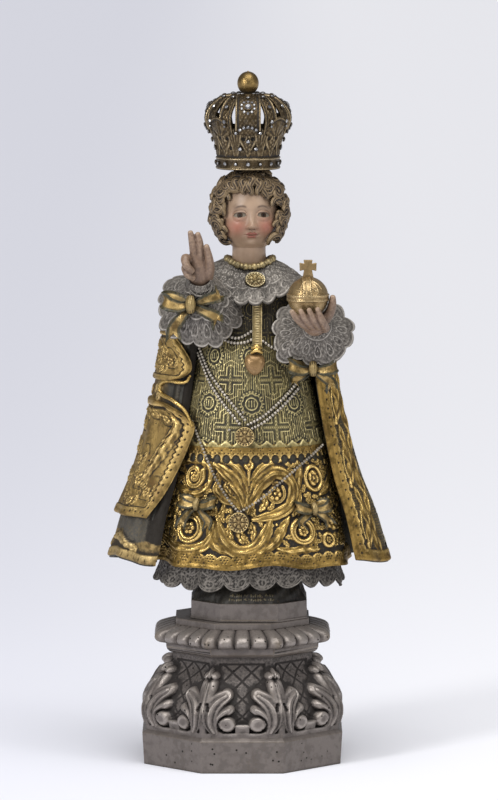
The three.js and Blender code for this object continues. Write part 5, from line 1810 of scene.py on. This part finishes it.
# Orb
def orb_ball(middle):
    radius = 21.4
    lat = np.linspace(-math.pi / 2, math.pi / 2, 110)[:, None]
    lon = ring_grid(1, 200)[0]
    way = stacked(np.cos(lat) * np.sin(lon), -np.cos(lat) * np.cos(lon), np.sin(lat))
    x, y, z = np.moveaxis(way, -1, 0)
    girdle, upright = radius * z, radius * (x + 0.1 * z)
    relief = 0.9 * smoothstep(3.6 - np.abs(girdle), 0, 0.5) + 0.5 * bump(np.abs(girdle), 2.9, 0.5)
    relief = relief - 0.35 * bump(girdle, 0, 0.5)
    band = smoothstep(4.7 - np.abs(upright), 0, 0.5) * (z > 0) * (y < 0.7)
    relief = np.maximum(relief,
                        band * (0.9 + 0.5 * bump(np.abs(upright), 3.9, 0.6) + 0.3 * bump(upright, 0, 0.6)))
    folds = Carving(radius * np.arctan2(x, -y), radius * lat)
    for row in ([(4, 22), (9, 17), (12, 9), (11, 5)], [(7, 22), (14, 17), (18, 10)],
                [(5, 12), (8, 9), (13, 8)], [(-5, 20), (-9, 14), (-11, 6)]):
        folds.ridge(row, [0.5, 1.2, 0.5], 1.0)
    relief = relief + 0.7 * folds.height
    crest = clamp(0.12 + crest_of(relief, 3, 0.4, True))
    points = way * (21.2 + relief)[..., None] + middle
    return finished(skin("orb_ball", points, True, crest=crest), orb_gilding, "orb")


def orb_cross(middle):
    foot, top = middle[2] + 20.0, orb_high[2]
    arm = foot + (top - foot) * 0.63
    half = [(5.8, foot), (4.1, arm - 3.4), (8.6, arm - 4.6), (8.9, arm + 3.9), (4.0, arm + 3.0), (4.7, top)]
    outline = [(-x, z) for x, z in half] + half[::-1]
    mesh = bpy.data.meshes.new("orb_cross")
    mesh.from_pydata([((middle[0] + x) * MM, (middle[1] - 2) * MM, z * MM) for x, z in outline], [],
                     [range(12)])
    cross = placed("orb_cross", mesh)
    only(cross)
    mode("EDIT")
    all_faces()
    extruded(0, 4 * MM, 0)
    all_faces()
    bpy.ops.mesh.normals_make_consistent(inside=False)
    mode("OBJECT")
    apply_modifier(cross, "BEVEL", width=0.7 * MM, segments=3)
    bpy.ops.object.shade_smooth()
    bpy.ops.object.shade_smooth_by_angle(angle=0.6)
    return finished(marked_for_shade_and_wear(cross, 0.3, 1), orb_gilding, "orb")


def orb():
    middle = (orb_low + orb_high) / 2
    middle[2] = orb_low[2] + 22.2
    orb_ball(middle)
    orb_cross(middle)


# Crown: heights are above its foot, and the angle 0 is at the front
CROWN_AXIS = np.array([6.0, -6.0])
BAND = {"radius": 32, "height": 13}
BOWL = {"radius": 41.5, "top": 44}
STRAP = {"width": 26.5, "narrow": 14, "spread": math.radians(13)}


def crown_at(angle, reach, z):
    x, y = CROWN_AXIS
    return stacked(x + reach * np.sin(angle), y - reach * np.cos(angle), crown_low[2] + z)


def crown_wall():
    angle = ring_grid(1, 480)[0]
    foot, top, middle_reach = BAND["height"], BOWL["top"], 37
    levels = np.concatenate([np.linspace(0, foot, 22), np.linspace(foot, top, 42)[1:]])[:, None]
    share = clamp((levels - foot) / (top - foot))
    reach = mix(BAND["radius"], BOWL["radius"], share**2)
    edge = np.minimum(levels, foot - levels)
    ribs = 0.45 * np.abs(np.cos(angle * 60)) * smoothstep(share, 0.02, 0.1)
    carving = Carving(angle * middle_reach, levels, ribs)
    around = TURN * middle_reach
    for i in range(-1, 10):
        middle = i * around / 8
        for hand in (-1, 1):
            stem = [(middle + hand * 10, 40), (middle + hand * 8, 30), (middle + hand * 2, 20), (middle, 15)]
            carving.ridge(stem, [1.2, 1.6, 0.8], 1.2)
        carving.leaf([(middle, 16), (middle, 26), (middle, 38)], 5.0, 1.5, 5)
        half_way = middle + around / 16
        for lean in (-6.5, -3.3, 0, 3.3, 6.5):
            ray = [(half_way + lean * share_out, z) for share_out, z in ((0.35, 15), (0.7, 28), (1.2, 42))]
            carving.ridge(ray, [0.7, 1.3, 1.5], 1.3)
        carving.pits([(half_way - 6.5, 23), (half_way + 6.5, 23), (middle - 5, 33), (middle + 5, 33)],
                     1.8, 1.8)
    mouldings = 0.9 + 1.1 * bump(edge, 1.4, 0.9) + 0.45 * bump(edge, 3.3, 0.5)
    relief = np.where(levels < foot + 0.01, mouldings, carving.height)
    outer, inner = crown_at(angle, reach + relief, levels), crown_at(angle, reach - 2.1, levels)
    wall = shell("crown_wall", outer, inner, True, crest=crest_of(relief, 3, 0.5, True))
    return finished(facing_out(wall), crown_brass, "crown")


def strap_line(share):
    """Reach and height of a crown strap along its way up, and the way out of it."""
    line = smooth_line([(39.5, 38), (43.2, 46), (44.6, 54), (41.8, 62.5), (34.5, 70.8), (25, 75.4),
                        (12, 76.5)], 12)
    length = run_of(line)

    def at(part):
        return [np.interp(part * length[-1], length, line[:, k]) for k in (0, 1)]

    (r0, z0), (r1, z1) = at(share - 0.02), at(share + 0.02)
    size = np.maximum(np.hypot(r1 - r0, z1 - z0), 1e-6)
    return (*at(share), (z1 - z0) / size, (r0 - r1) / size)


def strap_place(turn, share, across, out):
    reach, z, out_r, out_z = strap_line(share)
    reach, z = reach + out * out_r, z + out * out_z
    x, y = across, -(reach - 0.5 * across**2 / np.maximum(reach, 12))
    c, s = math.cos(turn), math.sin(turn)
    place = [CROWN_AXIS[0] + x * c - y * s, CROWN_AXIS[1] + x * s + y * c, crown_low[2] + z]
    return [stacked(*parts) for parts in (place, (out_r * s, -out_r * c, out_z))]


def crown_strap(turn, width, taper):
    """A pierced-looking strap with a raised edge, from the bowl to the top ring."""
    share, side = np.linspace(0, 1, 60)[:, None], np.linspace(-1, 1, 27)[None]
    across = side * width / 2 * np.interp(share, [0, 0.55, 0.8, 1], [1, 1, mix(1, taper, 0.45), taper])
    edge, rim = np.abs(side) * width / 2, width / 2 - 2.2
    relief = 0.9 * smoothstep(edge, rim, rim + 0.9) - 0.5 * bump(edge, rim - 0.8, 0.6)
    relief = relief + 0.3 * np.cos(across * 1.6) * np.cos(share * 70) * (edge < rim - 1)
    outer, inner = (strap_place(turn, share, across, out)[0] for out in (0.9 + relief, -0.9))
    return facing_out(shell("strap", outer, inner, crest=crest_of(relief, 2, 0.6)))


def palmette(turn):
    """An arched plate with radiating ribs, in front of the gap between two narrow straps."""
    rise, side = np.linspace(0, 1, 26)[:, None], np.linspace(-1, 1, 41)[None]
    arch = 19 * np.sqrt(clamp(1 - (side * 0.97) ** 2)) + 1
    z = 36 + rise * arch
    fan = np.arctan2(side * 12, rise * arch + 3)
    ribs = 0.8 * np.abs(np.cos(fan * 6)) * smoothstep(1 - rise, 0.12, 0.22)
    relief = ribs + 1.2 * smoothstep(rise, 0.84, 0.92)
    reach = 40.6 + 5.2 * smoothstep(z, 36, 52) - 1.0 * side**2
    angle = turn + side * 12.6 / 44
    outer, inner = crown_at(angle, reach + 0.8 + relief, z), crown_at(angle, reach - 0.9, z)
    return facing_out(shell("palmette", outer, inner, crest=crest_of(relief, 2, 0.6)))


def crown_straps():
    parts, stones = [], []

    def on_strap(turn, share, across, size, out=1.2):
        stones.append((*strap_place(turn, np.float64(share), np.float64(across), out), size))

    def on_bowl(turn, across, z, reach, size):
        a = turn + across / reach
        stones.append((crown_at(a, reach, z), np.array([math.sin(a), -math.cos(a), -0.15]), size))

    for quarter in range(4):
        turn = quarter * math.pi / 2
        parts.append(crown_strap(turn, STRAP["width"], 0.8))
        on_strap(turn, 0.5, 0, 3.3, 1.8)
        for k in range(10):
            a = k * math.pi / 5
            on_strap(turn, 0.5 + 0.115 * math.cos(a), 6.9 * math.sin(a), 1.5)
        on_strap(turn, 0.74, 0, 1.8)
        for across in (-6, 6):
            on_strap(turn, 0.93, across, 1.9, 2.4)
        between = turn + math.pi / 4
        for side in (between - STRAP["spread"], between + STRAP["spread"]):
            parts.append(crown_strap(side, STRAP["narrow"], 0.25))
            for share in (0.24, 0.48, 0.72, 0.9):
                on_strap(side, share, 0, 1.9, 2.4)
        parts.append(palmette(between))
        for k in range(-2, 3):
            on_bowl(between, k * 5.4, 36 + 19 * math.sqrt(1 - (k * 0.42) ** 2), 46.6, 1.2)
        for side, size in ((turn, 2.0), (between, 2.0), (turn + 0.39, 1.5), (turn - 0.39, 1.5)):
            on_bowl(side, 0, 6.5, 33.9, size)
        for a in (-13, -8.7, -4.3, 0, 4.3, 8.7, 13):
            on_bowl(turn, a, 46 - 0.038 * a * a, 45.4 - 0.012 * a * a, 1.6)
        for across, z, reach in ((0, 30.5, 37.8), (-8.5, 22.5, 35.4), (8.5, 22.5, 35.4)):
            on_bowl(turn, across, z, reach, 1.9)
    finished(joined("crown_straps", parts), crown_brass, "crown")
    places, ways, sizes = (np.array(part) for part in zip(*stones))
    finished(copies("crown_stones", stone_model(), places, ways, sizes, False), paste, "crown")
    seats = places - 0.25 * unit(ways) * sizes[:, None]
    finished(copies("crown_collets", collet_model(), seats, ways, sizes, False, 0.4), crown_brass, "crown")


def crown_top():
    cap = np.array([(0, 75.2), (12, 75.4), (14.5, 75.8), (15, 76.6), (14.6, 77.6), (12.5, 78.2),
                    (8, 78.6), (6.5, 79.4), (6.5, 80.2), (0, 80.4)])
    points = crown_at(ring_grid(1, 72)[0], cap[:, :1], cap[:, 1:])
    finished(facing_out(skin("crown_cap", points, True, crest=0.55)), crown_brass, "crown")
    tall = crown_high[2] - 0.6 - (crown_low[2] + 77)
    middle = (*CROWN_AXIS, crown_high[2] - 0.7 - tall / 2)
    top = ball("crown_ball", middle, (11.2, 11.2, tall / 2))
    bpy.ops.object.shade_smooth()
    finished(marked_for_shade_and_wear(top, 0.0), ball_gilding, "crown")
    tip = primitive("cone", vertices=16, radius1=1.6 * MM, radius2=0.5 * MM, depth=1.6 * MM,
                    location=(*CROWN_AXIS * MM, (crown_high[2] - 0.85) * MM))
    tip.name = "crown_tip"
    finished(marked_for_shade_and_wear(settle(tip), 0.0), ball_gilding, "crown")


# Stage, lights and camera
def stage():
    pale = Finish("pale paper", "")
    across = pale.node("SeparateXYZ")
    pale.wire(pale.place, across.inputs[0])
    # Painted light: the floor is coloured darker towards the left and lighter towards the right, as a painted
    # fall of light.
    pale.set(Base_Color=pale.blend(pale.step(across.outputs[0], -0.45, 0.4), (0.78, 0.785, 0.85),
                                   (0.94, 0.94, 0.97)))
    pale.set(Roughness=0.9)
    floor = primitive("plane", size=80, location=(0, 0, -0.05 * MM))
    floor.name = "floor"
    floor.data.materials.append(pale.material)


def area_light(name, place, aim, size, energy):
    lamp = bpy.data.lights.new(name, "AREA")
    lamp.shape = "RECTANGLE"
    lamp.size, lamp.size_y = size
    lamp.energy = energy
    thing = placed(name, lamp)
    thing.location = place
    thing.rotation_euler = (Vector(aim) - Vector(place)).to_track_quat("-Z", "Y").to_euler()


def soft_sun(place, strength, spread_out):
    """Even light on the whole floor, as from a wide ceiling."""
    lamp = bpy.data.lights.new("ceiling", "SUN")
    lamp.energy = strength
    lamp.angle = math.radians(spread_out)
    placed("ceiling", lamp).rotation_euler = Vector(place).to_track_quat("Z", "Y").to_euler()


def lights():
    world = bpy.data.worlds.new("studio")
    bpy.context.scene.world = world
    world.use_nodes = True
    air = world.node_tree.nodes["Background"]
    air.inputs["Color"].default_value = (0.92, 0.93, 1.0, 1)
    air.inputs["Strength"].default_value = 0.24
    area_light("key", (-1.5, -1.6, 1.35), (0, 0, 0.42), (0.45, 0.9), 26)
    area_light("fill", (1.7, -1.3, 1.2), (0, 0, 0.4), (0.5, 1.1), 7)
    soft_sun((0.1, -0.35, 1), 2.2, 50)


def camera():
    lens = bpy.data.cameras.new("camera")
    lens.sensor_fit = "VERTICAL"
    lens.sensor_height = 36
    lens.lens = 279
    lens.clip_end = 120
    thing = placed("camera", lens)
    aim = Vector((0.007, 0, 0.3795))
    down = math.radians(6.6)
    thing.location = aim + 6.51 * Vector((0, -math.cos(down), math.sin(down)))
    thing.rotation_euler = (aim - thing.location).to_track_quat("-Z", "Y").to_euler()
    bpy.context.scene.camera = thing


bpy.context.scene.view_settings.view_transform = "Standard"
camera()
lights()
stage()
pedestal()
base_block()
mound()
petticoat()
skirt()
bodice()
mantle_lining()
mantle_back()
left_front()
mantle_rim()
right_under()
flap("flap_upper", 284, 231, UPPER_EDGE, 4, upper_flap_carving, 80, 110)
flap("flap_lower", 213, 89, LOWER_EDGE, 2, lower_flap_carving, 150, 130)
collar()
for words in CUFFS:
    cuff(*words)
sleeves()
neck()
head()
hair()
hands()
bow("right_bow", (-60, -77, 316.4), 28, [(-18, -35), (30, 12), (28, -19)], toward=(-0.1, -1, 0.05),
    loops=(-1,))
bow("left_bow", (66, -67, 248.7), 24, [(-19, -17), (20, -21)], toward=(0.1, -1, 0.0))
bow("skirt_bow_right", (-53, -61, 105.4), 20, [(14, -24), (-18, -24)], toward=(-0.6, -1, 0.2))
bow("skirt_bow_left", (66, -54, 99.8), 20, [(20, -18), (-16, -18)], toward=(0.7, -1, 0.2))
jewels()
orb()
crown_wall()
crown_straps()
crown_top()

import json
